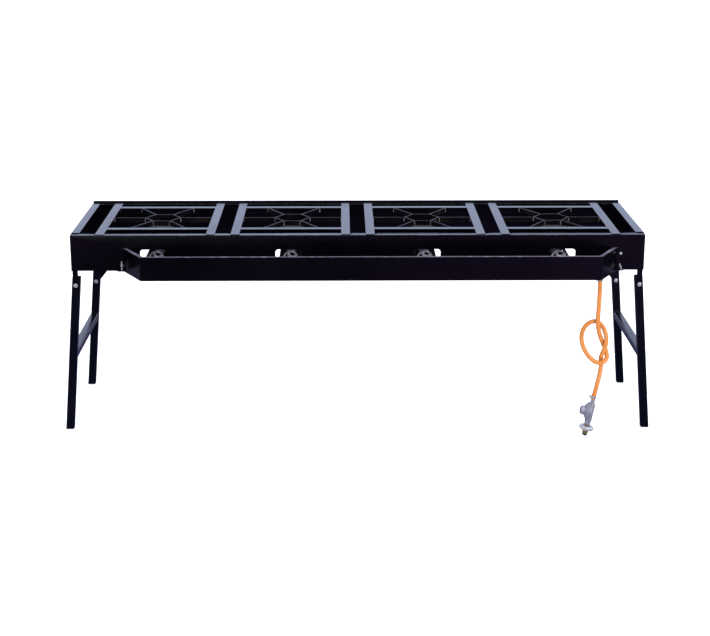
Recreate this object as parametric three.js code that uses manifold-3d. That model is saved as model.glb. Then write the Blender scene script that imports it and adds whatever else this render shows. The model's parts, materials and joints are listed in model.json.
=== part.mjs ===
// Four-burner gas boiling table on two folding leg frames, with its hose and regulator.
// Millimetres, +Z up, +X to the right, the tap side faces -Y.
import * as THREE from "three";
import { mergeVertices } from "three/addons/utils/BufferGeometryUtils.js";
import Module from "manifold-3d";

const wasm = await Module();
wasm.setup();

// ---------------------------------------------------------------- driving dimensions
const TABLE_LENGTH = 1700;
const TABLE_DEPTH = 470;
const TOP_Z = 610; // working surface, where the pots stand
const PANEL_HEIGHT = 110; // side panels, from the working surface down
const REAR_RIM = 5; // upstand along the back edge, above the working surface
const SHEET = 2; // folded sheet steel
const FLANGE = 25; // inward fold along the top of each side panel
const GAP = 0.3; // between touching pieces

const BAY_PITCH = 400; // burner to burner
const BAY_WIDTH = 353; // outer width of one pot frame
const BAR_WIDTH = 26; // its two bars, which run front to back
const RAIL_Y = 153.5; // its two rails, from the table's middle
const RAIL_WIDTH = 25;
const HEX_RADIUS = 55; // pot support's six-sided ring
const STRIP = 3; // thickness of the pot support's strips
const STRIP_HEIGHT = 15;

const WINDOW_WIDTH = 78; // openings in the front panel for the gas injectors
const WINDOW_TOP = 564.5;
const WINDOW_HEIGHT = 52;
const WINDOW_OFFSET = 5.5; // each sits this far outwards of its injector

const LEG_TUBE = 24; // square tube
const LEG_WALL = 1.5;
const HINGE_X = 840;
const HINGE_Z = 454.5;
const HANGER = { thickness: 3, inner: 831.5, strapBottom: 560, top: 585, belowHinge: 13 };
const SPLAY = THREE.MathUtils.degToRad(5);
const LEG_ABOVE_HINGE = 24;
const CROSSBAR_TUBE = 24;
const CROSSBAR_Z = 236;
const BOLT_RADIUS = 4;
const BOLT_HOLE = 4.4;
const BOLT_HEAD = 5.5; // washer and head, above the face they clamp
const FOLD = THREE.MathUtils.degToRad(95); // from standing to flat under the table

const STAY_FOOT_Z = 353; // bolt through the rear leg
const STAY_PIN_Z = 538; // pin in the guide's slot, standing and folded
const STAY_SLOPE = THREE.MathUtils.degToRad(51);
const STAY_WIDTH = 16;
const STAY_THICKNESS = 2.5;
const PIN_RADIUS = 4; // the stay's upper pin, which runs in the guide's slot
const PIN_HEAD = { radius: 7, front: 218, back: 221.2 };
const GUIDE = { front: 223.5, back: 226.5, bottom: 505, top: 556, margin: 16 };

const PIPE_Y = -282; // gas rail in front of the front panel
const PIPE_Z = 510;
const PIPE_RADIUS = 10.5;
const PIPE_BRACKETS = [-400, 0, 400];
const PIPE_OUTLET = 15; // from the rail's axis down to the hose's nut
const JET_Z = 529; // injector and mixing tube axis
const GUARD_Y = -350;
const GUARD_BOTTOM = 498;
const GUARD_TOP = 568.5;
const GUARD_FACE = [-630, 705]; // the face's two ends
const GUARD_ROOTS = [-692, 767]; // where its slanted ends meet the front panel
const GUARD_TAB = 22; // flat ends against the front panel
const GUARD_LIP = 9; // stiffening fold along the top edge

const HOSE_DIAMETER = 13.5;
const BARB_X = 714;

const HALF_LENGTH = TABLE_LENGTH / 2;
const HALF_DEPTH = TABLE_DEPTH / 2;
const PANEL_BOTTOM = TOP_Z - PANEL_HEIGHT;
const FLANGE_TOP = TOP_Z - SHEET - GAP; // pot frames lie on the panels' flanges
const BACKMOST_Y = HALF_DEPTH - SHEET + BOLT_HEAD; // the rear bolts' heads
const MIDDLE_Y = (GUARD_Y - SHEET / 2 + BACKMOST_Y) / 2;
const BAYS = [-1.5, -0.5, 0.5, 1.5].map((k) => k * BAY_PITCH);
const HANGER_FACE = HALF_DEPTH - SHEET - GAP; // outer face of the leg hanger's ears
const LEG_OUTER = HANGER_FACE - HANGER.thickness - GAP;
const LEG_Y = LEG_OUTER - LEG_TUBE / 2; // leg centres, from the table's middle
const LEG_INNER = LEG_Y - LEG_TUBE / 2;
const STAY_BACK = LEG_OUTER + GAP + STAY_THICKNESS;

// ---------------------------------------------------------------- solids
const Y = new THREE.Vector3(0, 1, 0);
const Z = new THREE.Vector3(0, 0, 1);

function solid(geometry) {
  geometry.deleteAttribute("normal");
  geometry.deleteAttribute("uv");
  const merged = mergeVertices(geometry, 1e-4);
  const mesh = new wasm.Mesh({
    numProp: 3,
    vertProperties: new Float32Array(merged.attributes.position.array),
    triVerts: new Uint32Array(merged.index.array),
  });
  return new wasm.Manifold(mesh);
}

function geometryOf(body) {
  const mesh = body.getMesh();
  const geometry = new THREE.BufferGeometry();
  geometry.setAttribute("position", new THREE.BufferAttribute(new Float32Array(mesh.vertProperties), 3));
  geometry.setIndex(new THREE.BufferAttribute(new Uint32Array(mesh.triVerts), 1));
  return geometry;
}

const ordered = (a, b) => [Math.min(a, b), Math.max(a, b)];
const join = (...bodies) => bodies.reduce((a, b) => a.add(b));
const cut = (body, ...tools) => tools.reduce((a, b) => a.subtract(b), body);

function box(x0, x1, y0, y1, z0, z1) {
  const geometry = new THREE.BoxGeometry(x1 - x0, y1 - y0, z1 - z0);
  geometry.translate((x0 + x1) / 2, (y0 + y1) / 2, (z0 + z1) / 2);
  return solid(geometry);
}

// A round bar from one point to another, or a cone where the two radii differ.
function rod(from, to, radius, sides = 16, endRadius = radius) {
  const start = new THREE.Vector3(...from);
  const along = new THREE.Vector3(...to).sub(start);
  const geometry = new THREE.CylinderGeometry(endRadius, radius, along.length(), sides);
  geometry.translate(0, along.length() / 2, 0);
  geometry.applyQuaternion(new THREE.Quaternion().setFromUnitVectors(Y, along.clone().normalize()));
  geometry.translate(start.x, start.y, start.z);
  return solid(geometry);
}

// A turned piece: profile is [radius, height] pairs from axis to axis, height along +Z.
function turned(profile, sides) {
  const points = profile.map(([r, h]) => new THREE.Vector2(r, h));
  const geometry = new THREE.LatheGeometry(points, sides);
  geometry.rotateX(Math.PI / 2);
  return solid(geometry);
}

// An outline in the X-Z plane, extruded from y0 to y1.
function plateXZ(outline, y0, y1) {
  const shape = new THREE.Shape(outline.map(([x, z]) => new THREE.Vector2(x, z)));
  const geometry = new THREE.ExtrudeGeometry(shape, { depth: y1 - y0, bevelEnabled: false });
  geometry.rotateX(Math.PI / 2);
  geometry.translate(0, y1, 0);
  return solid(geometry);
}

// An outline in the X-Y plane, extruded from z0 to z1.
function plateXY(outline, z0, z1) {
  const shape = new THREE.Shape(outline.map(([x, y]) => new THREE.Vector2(x, y)));
  const geometry = new THREE.ExtrudeGeometry(shape, { depth: z1 - z0, bevelEnabled: false });
  geometry.translate(0, 0, z0);
  return solid(geometry);
}

// Moves a solid that was made about the origin: turned about an axis, then shifted.
function placed(body, axis, angle, position) {
  const matrix = new THREE.Matrix4().makeRotationAxis(axis, angle).setPosition(...position);
  const geometry = geometryOf(body);
  geometry.applyMatrix4(matrix);
  return solid(geometry);
}

// A closed outline around a path, as wide as a slot or bar with round ends.
function ribbon(path, halfWidth) {
  const arcSteps = 6;
  const side = (sign) => path.map(([x, z], i) => {
    const [ax, az] = path[Math.max(i - 1, 0)];
    const [bx, bz] = path[Math.min(i + 1, path.length - 1)];
    const length = Math.hypot(bx - ax, bz - az);
    return [x - sign * halfWidth * (bz - az) / length, z + sign * halfWidth * (bx - ax) / length];
  });
  const cap = (end, next) => {
    const back = Math.atan2(end[1] - next[1], end[0] - next[0]);
    return Array.from({ length: arcSteps - 1 }, (_, i) => {
      const angle = back + Math.PI / 2 - Math.PI * (i + 1) / arcSteps;
      return [end[0] + halfWidth * Math.cos(angle), end[1] + halfWidth * Math.sin(angle)];
    });
  };
  const last = path.length - 1;
  return [...side(1), ...cap(path[last], path[last - 1]), ...side(-1).reverse(), ...cap(path[0], path[1])];
}

// ---------------------------------------------------------------- materials and the group
const PAINTS = {
  frame: { color: 0x0b0a12, roughness: 0.25, metalness: 0.1 },
  support: { color: 0x14131a, roughness: 0.4, metalness: 0.2 },
  leg: { color: 0x12162c, roughness: 0.3, metalness: 0.1 },
  castIron: { color: 0x26262b, roughness: 0.75, metalness: 0.6 },
  brass: { color: 0xb99545, roughness: 0.35, metalness: 1 },
  zinc: { color: 0xc4c6d2, roughness: 0.3, metalness: 1 },
  dieCast: { color: 0xa3a3bd, roughness: 0.45, metalness: 0.9 },
  knob: { color: 0x1a1a1c, roughness: 0.5, metalness: 0 },
  hose: { color: 0xeb964b, roughness: 0.45, metalness: 0 },
  pipe: { color: 0x2a2a30, roughness: 0.4, metalness: 0.6 },
};

const stand = new THREE.Group();
stand.position.y = -MIDDLE_Y; // puts the origin under the middle of the outer box

function add(name, paint, body) {
  const mesh = new THREE.Mesh(geometryOf(body), new THREE.MeshStandardMaterial(PAINTS[paint]));
  mesh.name = name;
  stand.add(mesh);
}

const SIDES = [["left", -1], ["right", 1]];

// ---------------------------------------------------------------- side panels
function roundedWindow(injectorX) {
  const centreX = injectorX + Math.sign(injectorX) * WINDOW_OFFSET;
  const corner = 9;
  const w = WINDOW_WIDTH / 2;
  const [z0, z1] = [WINDOW_TOP - WINDOW_HEIGHT, WINDOW_TOP];
  const shape = new THREE.Shape();
  shape.moveTo(-w, z0).lineTo(w, z0).lineTo(w, z1 - corner);
  shape.absarc(w - corner, z1 - corner, corner, 0, Math.PI / 2);
  shape.lineTo(-w + corner, z1);
  shape.absarc(-w + corner, z1 - corner, corner, Math.PI / 2, Math.PI);
  const outline = shape.getPoints(4).map((p) => [p.x + centreX, p.y]);
  return plateXZ(outline.slice(0, -1), -HALF_DEPTH - 5, -HALF_DEPTH + 8);
}

function longPanel(side, wallTop) {
  const outer = side * HALF_DEPTH;
  const inner = side * (HALF_DEPTH - SHEET);
  const fold = side * (HALF_DEPTH - FLANGE);
  const wall = box(-HALF_LENGTH, HALF_LENGTH, ...ordered(outer, inner), PANEL_BOTTOM, wallTop);
  const flange = box(-HALF_LENGTH, HALF_LENGTH, ...ordered(outer, fold), FLANGE_TOP - SHEET, FLANGE_TOP);
  return join(wall, flange);
}

function endPanel(side) {
  const outer = side * HALF_LENGTH;
  const inner = side * (HALF_LENGTH - SHEET);
  const fold = side * (HALF_LENGTH - FLANGE);
  const wallY = HALF_DEPTH - SHEET - GAP;
  const flangeY = HALF_DEPTH - FLANGE - GAP;
  const wall = box(...ordered(outer, inner), -wallY, wallY, PANEL_BOTTOM, FLANGE_TOP - SHEET - GAP);
  const lip = box(...ordered(outer, inner), -flangeY, flangeY, PANEL_BOTTOM, TOP_Z - SHEET);
  const flange = box(...ordered(outer, fold), -flangeY, flangeY, TOP_Z - SHEET, TOP_Z);
  return join(wall, lip, flange);
}

add("front_panel", "frame", cut(longPanel(-1, FLANGE_TOP), ...BAYS.map(roundedWindow)));
add("rear_panel", "frame", longPanel(1, TOP_Z + REAR_RIM));
add("left_end_panel", "frame", endPanel(-1));
add("right_end_panel", "frame", endPanel(1));

// ---------------------------------------------------------------- pot frames and supports
// Two bars and two rails of folded strip, each with a web down its inner edge.
function potFrame(centreX) {
  const outer = BAY_WIDTH / 2;
  const inner = outer - BAR_WIDTH;
  const railOuter = RAIL_Y + RAIL_WIDTH / 2;
  const railInner = RAIL_Y - RAIL_WIDTH / 2;
  const frontEnd = -HALF_DEPTH + 0.5;
  const rearEnd = HALF_DEPTH - SHEET - GAP;
  const web = 2.5;
  const webBottom = TOP_Z - 16;
  const webY = HALF_DEPTH - FLANGE - 1;
  const [z0, z1] = [TOP_Z - SHEET, TOP_Z];
  const top = cut(box(-outer, outer, frontEnd, rearEnd, z0, z1),
    box(-inner, inner, -railInner, railInner, z0 - 1, z1 + 1),
    box(-inner, inner, railOuter, rearEnd + 1, z0 - 1, z1 + 1),
    box(-inner, inner, frontEnd - 1, -railOuter, z0 - 1, z1 + 1));
  const well = cut(box(-inner - web, inner + web, -railInner - web, railInner + web, webBottom, z0 + 1),
    box(-inner, inner, -railInner, railInner, webBottom - 1, z1 + 1));
  const fins = [-1, 1].flatMap((sx) => [-1, 1].map((sy) => {
    const x = ordered(sx * inner, sx * (inner + web));
    return box(...x, ...ordered(sy * railInner, sy * webY), webBottom, z0 + 1);
  }));
  return join(top, well, ...fins).translate([centreX, 0, 0]);
}

function potSupport(centreX) {
  const railEdge = RAIL_Y - RAIL_WIDTH / 2 - GAP;
  const barEdge = BAY_WIDTH / 2 - BAR_WIDTH - GAP;
  const half = STRIP / 2;
  const z0 = TOP_Z - STRIP_HEIGHT;
  const hexagon = (radius) => Array.from({ length: 6 }, (_, k) => {
    const angle = k * Math.PI / 3;
    return [radius * Math.cos(angle), radius * Math.sin(angle)];
  });
  const ring = cut(plateXY(hexagon(HEX_RADIUS), z0, TOP_Z),
    plateXY(hexagon(HEX_RADIUS - STRIP * 1.15), z0 - 1, TOP_Z + 1));
  const arms = Array.from({ length: 6 }, (_, k) => {
    const arm = box(HEX_RADIUS - STRIP, barEdge + 40, -half, half, z0, TOP_Z);
    return placed(arm, Z, k * Math.PI / 3, [0, 0, 0]);
  });
  const inside = box(-barEdge, barEdge, -railEdge, railEdge, z0 - 1, TOP_Z + 1);
  return join(ring, ...arms).intersect(inside).translate([centreX, 0, 0]);
}

BAYS.forEach((x, i) => {
  add(`pot_frame_${i + 1}`, "frame", potFrame(x));
  add(`pot_support_${i + 1}`, "support", potSupport(x));
});

// ---------------------------------------------------------------- burners
const CARRIER = { width: 62, floor: 502, height: 28, rearY: 211, lip: 4 };

function burnerCarrier(centreX) {
  const { width, floor, height, rearY, lip } = CARRIER;
  const w = width / 2;
  const frontY = -HALF_DEPTH + SHEET + GAP;
  const flangeUnder = FLANGE_TOP - SHEET - GAP;
  const base = box(-w, w, frontY, rearY, floor, floor + SHEET);
  const walls = [-1, 1].map((side) => {
    const top = floor + height;
    return join(box(...ordered(side * w, side * (w - SHEET)), frontY, rearY, floor, top),
      box(...ordered(side * (w + lip), side * (w - SHEET)), frontY, rearY, top - SHEET, top));
  });
  const riser = box(-w, w, rearY, rearY + SHEET, floor, flangeUnder);
  return join(base, ...walls, riser).translate([centreX, 0, 0]);
}

const BURNER = { radius: 52, rim: 575, neckRadius: 15, mouthY: -203, mouthRadius: 23 };

function burnerBody(centreX) {
  const foot = CARRIER.floor + SHEET + GAP;
  const { radius, rim, neckRadius, mouthY, mouthRadius } = BURNER;
  const bowl = turned([[0, foot], [17, foot], [17, 520], [24, 540], [radius - 6, 556], [radius, 562],
    [radius, rim], [radius - 5, rim], [radius - 5, rim - 6], [0, rim - 6]], 20);
  const tube = rod([0, 0, JET_Z], [0, mouthY + 40, JET_Z], neckRadius, 14);
  const bell = rod([0, mouthY + 40, JET_Z], [0, mouthY, JET_Z], neckRadius, 14, mouthRadius);
  const bore = rod([0, -60, JET_Z], [0, mouthY - 1, JET_Z], neckRadius - 4, 14);
  const flare = rod([0, mouthY + 32, JET_Z], [0, mouthY - 1, JET_Z], neckRadius - 4, 14, mouthRadius - 3);
  return cut(join(bowl, tube, bell), bore, flare).translate([centreX, 0, 0]);
}

function burnerCap(centreX) {
  const seat = BURNER.rim + GAP;
  const ports = 12;
  const cap = turned([[0, seat], [46, seat], [50, seat + 2], [50, seat + 7], [44, seat + 11],
    [22, seat + 13], [0, seat + 13]], 24);
  const slots = Array.from({ length: ports }, (_, k) => {
    const slot = box(40, 53, -1.2, 1.2, seat + 3, seat + 6.5);
    return placed(slot, Z, (k + 0.5) * 2 * Math.PI / ports, [0, 0, 0]);
  });
  const stud = rod([0, 0, seat + 12], [0, 0, seat + 20], 4, 8);
  const nut = rod([0, 0, seat + 12], [0, 0, seat + 17], 7, 6);
  return join(cut(cap, ...slots), stud, nut).translate([centreX, 0, 0]);
}

// ---------------------------------------------------------------- gas rail and taps
const TAP = { block: 24, frontY: -296, jetEndY: -210, knobRadius: 18, knobDepth: 15 };

function gasRail() {
  const endX = BAYS[0] - 38;
  const pipe = rod([endX, PIPE_Y, PIPE_Z], [BARB_X + 9, PIPE_Y, PIPE_Z], PIPE_RADIUS, 16);
  const plug = rod([endX - 9, PIPE_Y, PIPE_Z], [endX + 2, PIPE_Y, PIPE_Z], 13, 6);
  const elbow = rod([BARB_X - 12, PIPE_Y, PIPE_Z], [BARB_X + 14, PIPE_Y, PIPE_Z], 14, 16);
  const outlet = rod([BARB_X, PIPE_Y, PIPE_Z], [BARB_X, PIPE_Y, PIPE_Z - PIPE_OUTLET], 12, 16);
  const half = 9;
  const brackets = PIPE_BRACKETS.map((x) => join(
    box(x - half, x + half, PIPE_Y, -HALF_DEPTH - SHEET, PIPE_Z - 3, PIPE_Z + 3),
    box(x - half, x + half, -HALF_DEPTH - SHEET - GAP, -HALF_DEPTH - GAP, PIPE_Z - 3, PIPE_Z + 24)));
  return join(pipe, plug, elbow, outlet, ...brackets);
}

function tapBody(centreX) {
  const half = TAP.block / 2;
  const top = JET_Z + half;
  const under = PIPE_Z + PIPE_RADIUS + GAP;
  const block = box(-half, half, PIPE_Y - half, PIPE_Y + half, under, top);
  const stem = rod([0, PIPE_Y, JET_Z], [0, TAP.frontY - 14, JET_Z], 4, 12);
  const gland = rod([0, PIPE_Y - half + 1, JET_Z], [0, TAP.frontY - 3, JET_Z], 9, 6);
  const outlet = rod([0, PIPE_Y + half - 1, JET_Z], [0, -236, JET_Z], 8, 12);
  const jet = rod([0, -240, JET_Z], [0, TAP.jetEndY - 8, JET_Z], 5.5, 12);
  const tip = rod([0, TAP.jetEndY - 9, JET_Z], [0, TAP.jetEndY, JET_Z], 5.5, 12, 3);
  return join(block, stem, gland, outlet, jet, tip).translate([centreX, 0, 0]);
}

function tapKnob(centreX) {
  const back = TAP.frontY - 4;
  const front = back - TAP.knobDepth;
  const body = rod([0, back, JET_Z], [0, front, JET_Z], TAP.knobRadius, 24, TAP.knobRadius - 1.5);
  const grip = box(-3, 3, front - 6, front + 2, JET_Z - 15, JET_Z + 15);
  const bore = rod([0, back + 1, JET_Z], [0, TAP.frontY - 15, JET_Z], 4 + GAP, 12);
  return cut(join(body, grip), bore).translate([centreX, 0, 0]);
}

BAYS.forEach((x, i) => {
  const n = i + 1;
  add(`burner_carrier_${n}`, "frame", burnerCarrier(x));
  add(`burner_body_${n}`, "castIron", burnerBody(x));
  add(`burner_cap_${n}`, "castIron", burnerCap(x));
  add(`tap_body_${n}`, "brass", tapBody(x));
  add(`tap_knob_${n}`, "knob", tapKnob(x));
});
add("gas_rail", "pipe", gasRail());

// ---------------------------------------------------------------- guard in front of the taps
function guard() {
  const face = GUARD_Y - SHEET / 2;
  const [faceLeft, faceRight] = GUARD_FACE;
  const [rootLeft, rootRight] = GUARD_ROOTS;
  const back = -HALF_DEPTH - GAP;
  const bend = 1.2; // how far the outer corners stand beyond the inner ones
  const inner = [[rootLeft - GUARD_TAB, back], [rootLeft, back], [faceLeft, GUARD_Y + SHEET / 2],
    [faceRight, GUARD_Y + SHEET / 2], [rootRight, back], [rootRight + GUARD_TAB, back]];
  const outer = [[rootRight + GUARD_TAB, back - SHEET], [rootRight + bend, back - SHEET],
    [faceRight + bend, face], [faceLeft - bend, face],
    [rootLeft - bend, back - SHEET], [rootLeft - GUARD_TAB, back - SHEET]];
  const sheet = plateXY([...inner, ...outer], GUARD_BOTTOM, GUARD_TOP);
  const slant = Math.atan2(back - GUARD_Y, faceLeft - rootLeft);
  const lipRoot = GUARD_LIP / Math.sin(slant); // the lip's width along X on a slanted end
  const lipCorner = GUARD_LIP * Math.tan(slant / 2);
  const lipY = GUARD_Y + SHEET / 2 + GUARD_LIP;
  const lip = [...outer.slice(1, 5), [rootLeft + lipRoot, back], [faceLeft + lipCorner, lipY],
    [faceRight - lipCorner, lipY], [rootRight - lipRoot, back]];
  return join(sheet, plateXY(lip, GUARD_TOP - SHEET, GUARD_TOP));
}
add("guard", "frame", guard());

// ---------------------------------------------------------------- folding legs
const ALONG = [Math.sin(SPLAY), -Math.cos(SPLAY)]; // from the hinge to the foot, right-hand side
const ACROSS = [Math.cos(SPLAY), Math.sin(SPLAY)];

function onLeg(along, across = 0) {
  return [HINGE_X + along * ALONG[0] + across * ACROSS[0], HINGE_Z + along * ALONG[1] + across * ACROSS[1]];
}
const legLengthAt = (z) => (HINGE_Z - z) / Math.cos(SPLAY);
const mirrorX = (side, outline) => outline.map(([x, z]) => [side * x, z]);

const STAY_FOOT = onLeg(legLengthAt(STAY_FOOT_Z));
const STAY_LENGTH = (STAY_PIN_Z - STAY_FOOT_Z) / Math.sin(STAY_SLOPE);
const STAY_TURN = (Math.PI - STAY_SLOPE)
  - (Math.PI - Math.asin((STAY_PIN_Z - HINGE_Z) / STAY_LENGTH)); // about -30 degrees over the whole fold

// Where the stay's pin is when the leg has folded by this angle.
function pinAt(angle) {
  const [c, s] = [Math.cos(angle), Math.sin(angle)];
  const [dx, dz] = [STAY_FOOT[0] - HINGE_X, STAY_FOOT[1] - HINGE_Z];
  const footX = HINGE_X + dx * c + dz * s;
  const footZ = HINGE_Z - dx * s + dz * c;
  const direction = Math.PI - STAY_SLOPE - STAY_TURN * angle / FOLD;
  return [footX + STAY_LENGTH * Math.cos(direction), footZ + STAY_LENGTH * Math.sin(direction)];
}

const boltHole = ([x, z], y0, y1) => rod([x, y0, z], [x, y1, z], BOLT_HOLE, 10);

function leg(side, rear) {
  const half = LEG_TUBE / 2;
  const y = rear * LEG_Y;
  const outline = (inset, top, bottom) => {
    const h = half - inset;
    const footAt = (across) => {
      const along = (HINGE_Z + across * ACROSS[1] - bottom) / Math.cos(SPLAY);
      return onLeg(along, across);
    };
    return mirrorX(side, [onLeg(-top, -h), onLeg(-top, h), footAt(h), footAt(-h)]);
  };
  const tube = plateXZ(outline(0, LEG_ABOVE_HINGE, 0), y - half, y + half);
  const capDepth = 6; // the foot's cap closes the tube's end
  const hollow = plateXZ(outline(LEG_WALL, LEG_ABOVE_HINGE + 1, capDepth),
    y - half + LEG_WALL, y + half - LEG_WALL);
  const hingeHole = boltHole([side * HINGE_X, HINGE_Z], y - LEG_TUBE, y + LEG_TUBE);
  const stayHole = boltHole([side * STAY_FOOT[0], STAY_FOOT[1]], y - LEG_TUBE, y + LEG_TUBE);
  return rear > 0 ? cut(tube, hollow, hingeHole, stayHole) : cut(tube, hollow, hingeHole);
}

function crossbar(side) {
  const h = CROSSBAR_TUBE / 2;
  const at = legLengthAt(CROSSBAR_Z);
  const end = LEG_Y - LEG_TUBE / 2 - GAP;
  const square = (size) => mirrorX(side,
    [onLeg(at - size, -size), onLeg(at - size, size), onLeg(at + size, size), onLeg(at + size, -size)]);
  return cut(plateXZ(square(h), -end, end), plateXZ(square(h - LEG_WALL), -end - 1, end + 1));
}

// One strap inside each end panel, with an ear below the body at the front and at the back.
function legHanger(side) {
  const { thickness, inner, strapBottom, top, belowHinge } = HANGER;
  const outer = HALF_LENGTH - SHEET - GAP;
  const x = ordered(side * inner, side * outer);
  const strapX = ordered(side * (outer - thickness), side * outer);
  const strap = box(...strapX, -HANGER_FACE, HANGER_FACE, strapBottom, top);
  const ears = [-1, 1].map((end) => {
    const y = ordered(end * HANGER_FACE, end * (HANGER_FACE - thickness));
    const hole = boltHole([side * HINGE_X, HINGE_Z], y[0] - 5, y[1] + 5);
    return cut(box(...x, ...y, HINGE_Z - belowHinge, top), hole);
  });
  return join(strap, ...ears);
}

function bolt(x, z, headY, nutY, direction) {
  const washer = 7.5;
  const at = (y) => [x, y, z];
  const d = direction;
  return join(
    rod(at(headY - d), at(nutY + d), BOLT_RADIUS, 10),
    rod(at(headY), at(headY - d * 1.5), washer, 14),
    rod(at(headY - d), at(headY - d * BOLT_HEAD), 6.5, 6),
    rod(at(nutY), at(nutY + d * 6), 6.5, 6));
}

// ---------------------------------------------------------------- stays and their guides
function stay(side) {
  const pin = [side * pinAt(0)[0], pinAt(0)[1]];
  const foot = [side * STAY_FOOT[0], STAY_FOOT[1]];
  const bar = plateXZ(ribbon([pin, foot], STAY_WIDTH / 2), LEG_OUTER + GAP, STAY_BACK);
  const hole = boltHole(foot, LEG_OUTER - 5, STAY_BACK + 5);
  const pinTo = (y0, y1, radius) => rod([pin[0], y0, pin[1]], [pin[0], y1, pin[1]], radius, 12);
  const shank = pinTo(LEG_OUTER + GAP + 1, PIN_HEAD.front + 1, PIN_RADIUS);
  const head = pinTo(PIN_HEAD.back, PIN_HEAD.front, PIN_HEAD.radius);
  return join(cut(bar, hole), shank, head);
}

function stayGuide(side) {
  const steps = 12;
  const path = Array.from({ length: steps + 1 }, (_, i) => pinAt(FOLD * i / steps));
  const { front, back, bottom, top, margin } = GUIDE;
  const slot = plateXZ(mirrorX(side, ribbon(path, PIN_RADIUS + 0.8)), front - 5, back + 5);
  const x = ordered(side * (path[steps][0] - margin), side * (path[0][0] + margin));
  const wall = box(...x, front, back, bottom, top);
  const flange = box(...x, front, HANGER_FACE, top + front - back, top);
  return join(cut(wall, slot), flange);
}

for (const [name, side] of SIDES) {
  add(`leg_front_${name}`, "leg", leg(side, -1));
  add(`leg_rear_${name}`, "leg", leg(side, 1));
  add(`leg_crossbar_${name}`, "leg", crossbar(side));
  add(`leg_hanger_${name}`, "frame", legHanger(side));
  add(`hinge_bolt_front_${name}`, "zinc",
    bolt(side * HINGE_X, HINGE_Z, -HANGER_FACE - GAP, -LEG_INNER + GAP, 1));
  add(`hinge_bolt_rear_${name}`, "zinc",
    bolt(side * HINGE_X, HINGE_Z, HANGER_FACE + GAP, LEG_INNER - GAP, -1));
  add(`stay_${name}`, "leg", stay(side));
  add(`stay_bolt_${name}`, "zinc",
    bolt(side * STAY_FOOT[0], STAY_FOOT[1], LEG_INNER - GAP, STAY_BACK + GAP, 1));
  add(`stay_guide_${name}`, "frame", stayGuide(side));
}

// ---------------------------------------------------------------- hose with its overhand knot
const BARB_TOP = PIPE_Z - PIPE_OUTLET - GAP;
const BARB_LENGTH = 6;
const HOSE_TOP = BARB_TOP - BARB_LENGTH - GAP;

// Offsets from the barb along X and towards the back, and heights above the floor.
const HOSE_ROUTE = [
  [0, 0, HOSE_TOP], [0, 0, 459], [0, 0, 426], [-1, -1, 392], [-2, -5, 367], [-2, -8, 348],
  [1, -8, 328], [8, -4, 306], [16, 3, 287], [24, 9, 270], [29.5, 8, 255], [29.5, 0, 241],
  [19, -8.5, 230], [0, -7, 228], [-18, -1, 239], [-34, 2, 259], [-45, 2, 284], [-48, 2, 309],
  [-42, 3, 331], [-28, 5, 347], [-8, 7.5, 352], [10, 5, 342], [20.5, -1, 324], [24.5, -8, 304],
  [23, -11, 286], [19, -9, 268], [14, -1.5, 250], [13.5, 8.5, 233], [14.5, 6, 213], [9.5, -5, 189],
  [1, -17.5, 161], [-5.7, -20, 133], [-9, -20, 116],
];
const HOSE_POINTS = HOSE_ROUTE.map(([x, y, z]) => new THREE.Vector3(BARB_X + x, PIPE_Y + y, z));

function hose() {
  const curve = new THREE.CatmullRomCurve3(HOSE_POINTS, false, "centripetal");
  const sides = 8;
  const radius = HOSE_DIAMETER / 2;
  const section = new THREE.Shape(Array.from({ length: sides }, (_, i) => {
    const angle = 2 * Math.PI * i / sides;
    return new THREE.Vector2(radius * Math.cos(angle), radius * Math.sin(angle));
  }));
  return solid(new THREE.ExtrudeGeometry(section, { steps: 72, extrudePath: curve, bevelEnabled: false }));
}

// Worm-drive clip about the Z axis, its screw housing to the left.
function hoseClip() {
  const inner = HOSE_DIAMETER / 2 + GAP;
  const band = join(rod([0, 0, 0], [0, 0, 9], inner + 1.2, 14),
    box(-inner - 6, -inner, -4, 4, 1, 8), rod([-inner - 4, -8, 4.5], [-inner - 4, 9, 4.5], 3.2, 6));
  return cut(band, rod([0, 0, -1], [0, 0, 10], inner, 14));
}

function hoseBarb() {
  const top = [BARB_X, PIPE_Y, BARB_TOP];
  return rod(top, [BARB_X, PIPE_Y, BARB_TOP - BARB_LENGTH], 11, 6);
}

add("hose_barb", "brass", hoseBarb());
add("hose", "hose", hose());
add("hose_clip_upper", "zinc", placed(hoseClip(), Z, 0, [BARB_X, PIPE_Y, HOSE_TOP - 10]));

// ---------------------------------------------------------------- regulator on the hose's lower end
// Made about the hose's end, hanging down -Z, the diaphragm housing to the left.
const TILT = THREE.MathUtils.degToRad(11);
const HOSE_END = HOSE_POINTS[HOSE_POINTS.length - 1].toArray();
const HOUSING_Z = -38;
const HOUSING_RADIUS = 28;
const WHEEL = { radius: 22, top: -84, bottom: -96, lobes: 6 };

// A turned piece about the housing's own axis, which points to the left.
function turnedLeft(profile, sides) {
  return placed(turned(profile, sides), Y, -Math.PI / 2, [0, 0, HOUSING_Z]);
}

function regulatorBody() {
  const neck = turned([[0, -82], [9, -82], [9, -72], [11, -68], [11, -14], [6, -10], [6, -GAP],
    [0, -GAP]], 14);
  const shell = turnedLeft([[0, -8], [14, -8], [20, -5], [HOUSING_RADIUS - 3, 0], [HOUSING_RADIUS, 0.5],
    [HOUSING_RADIUS, 4], [0, 4]], 20);
  return join(neck, shell);
}

function regulatorBonnet() {
  const base = 4 + GAP;
  const bonnet = turnedLeft([[0, base], [HOUSING_RADIUS, base], [HOUSING_RADIUS, 8],
    [HOUSING_RADIUS - 4, 9], [22, 14], [15, 18], [13, 19], [13, 29], [11, 31], [0, 31]], 20);
  return cut(bonnet, rod([0, 0, 0], [0, 0, -90], 11 + GAP, 14));
}

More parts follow.
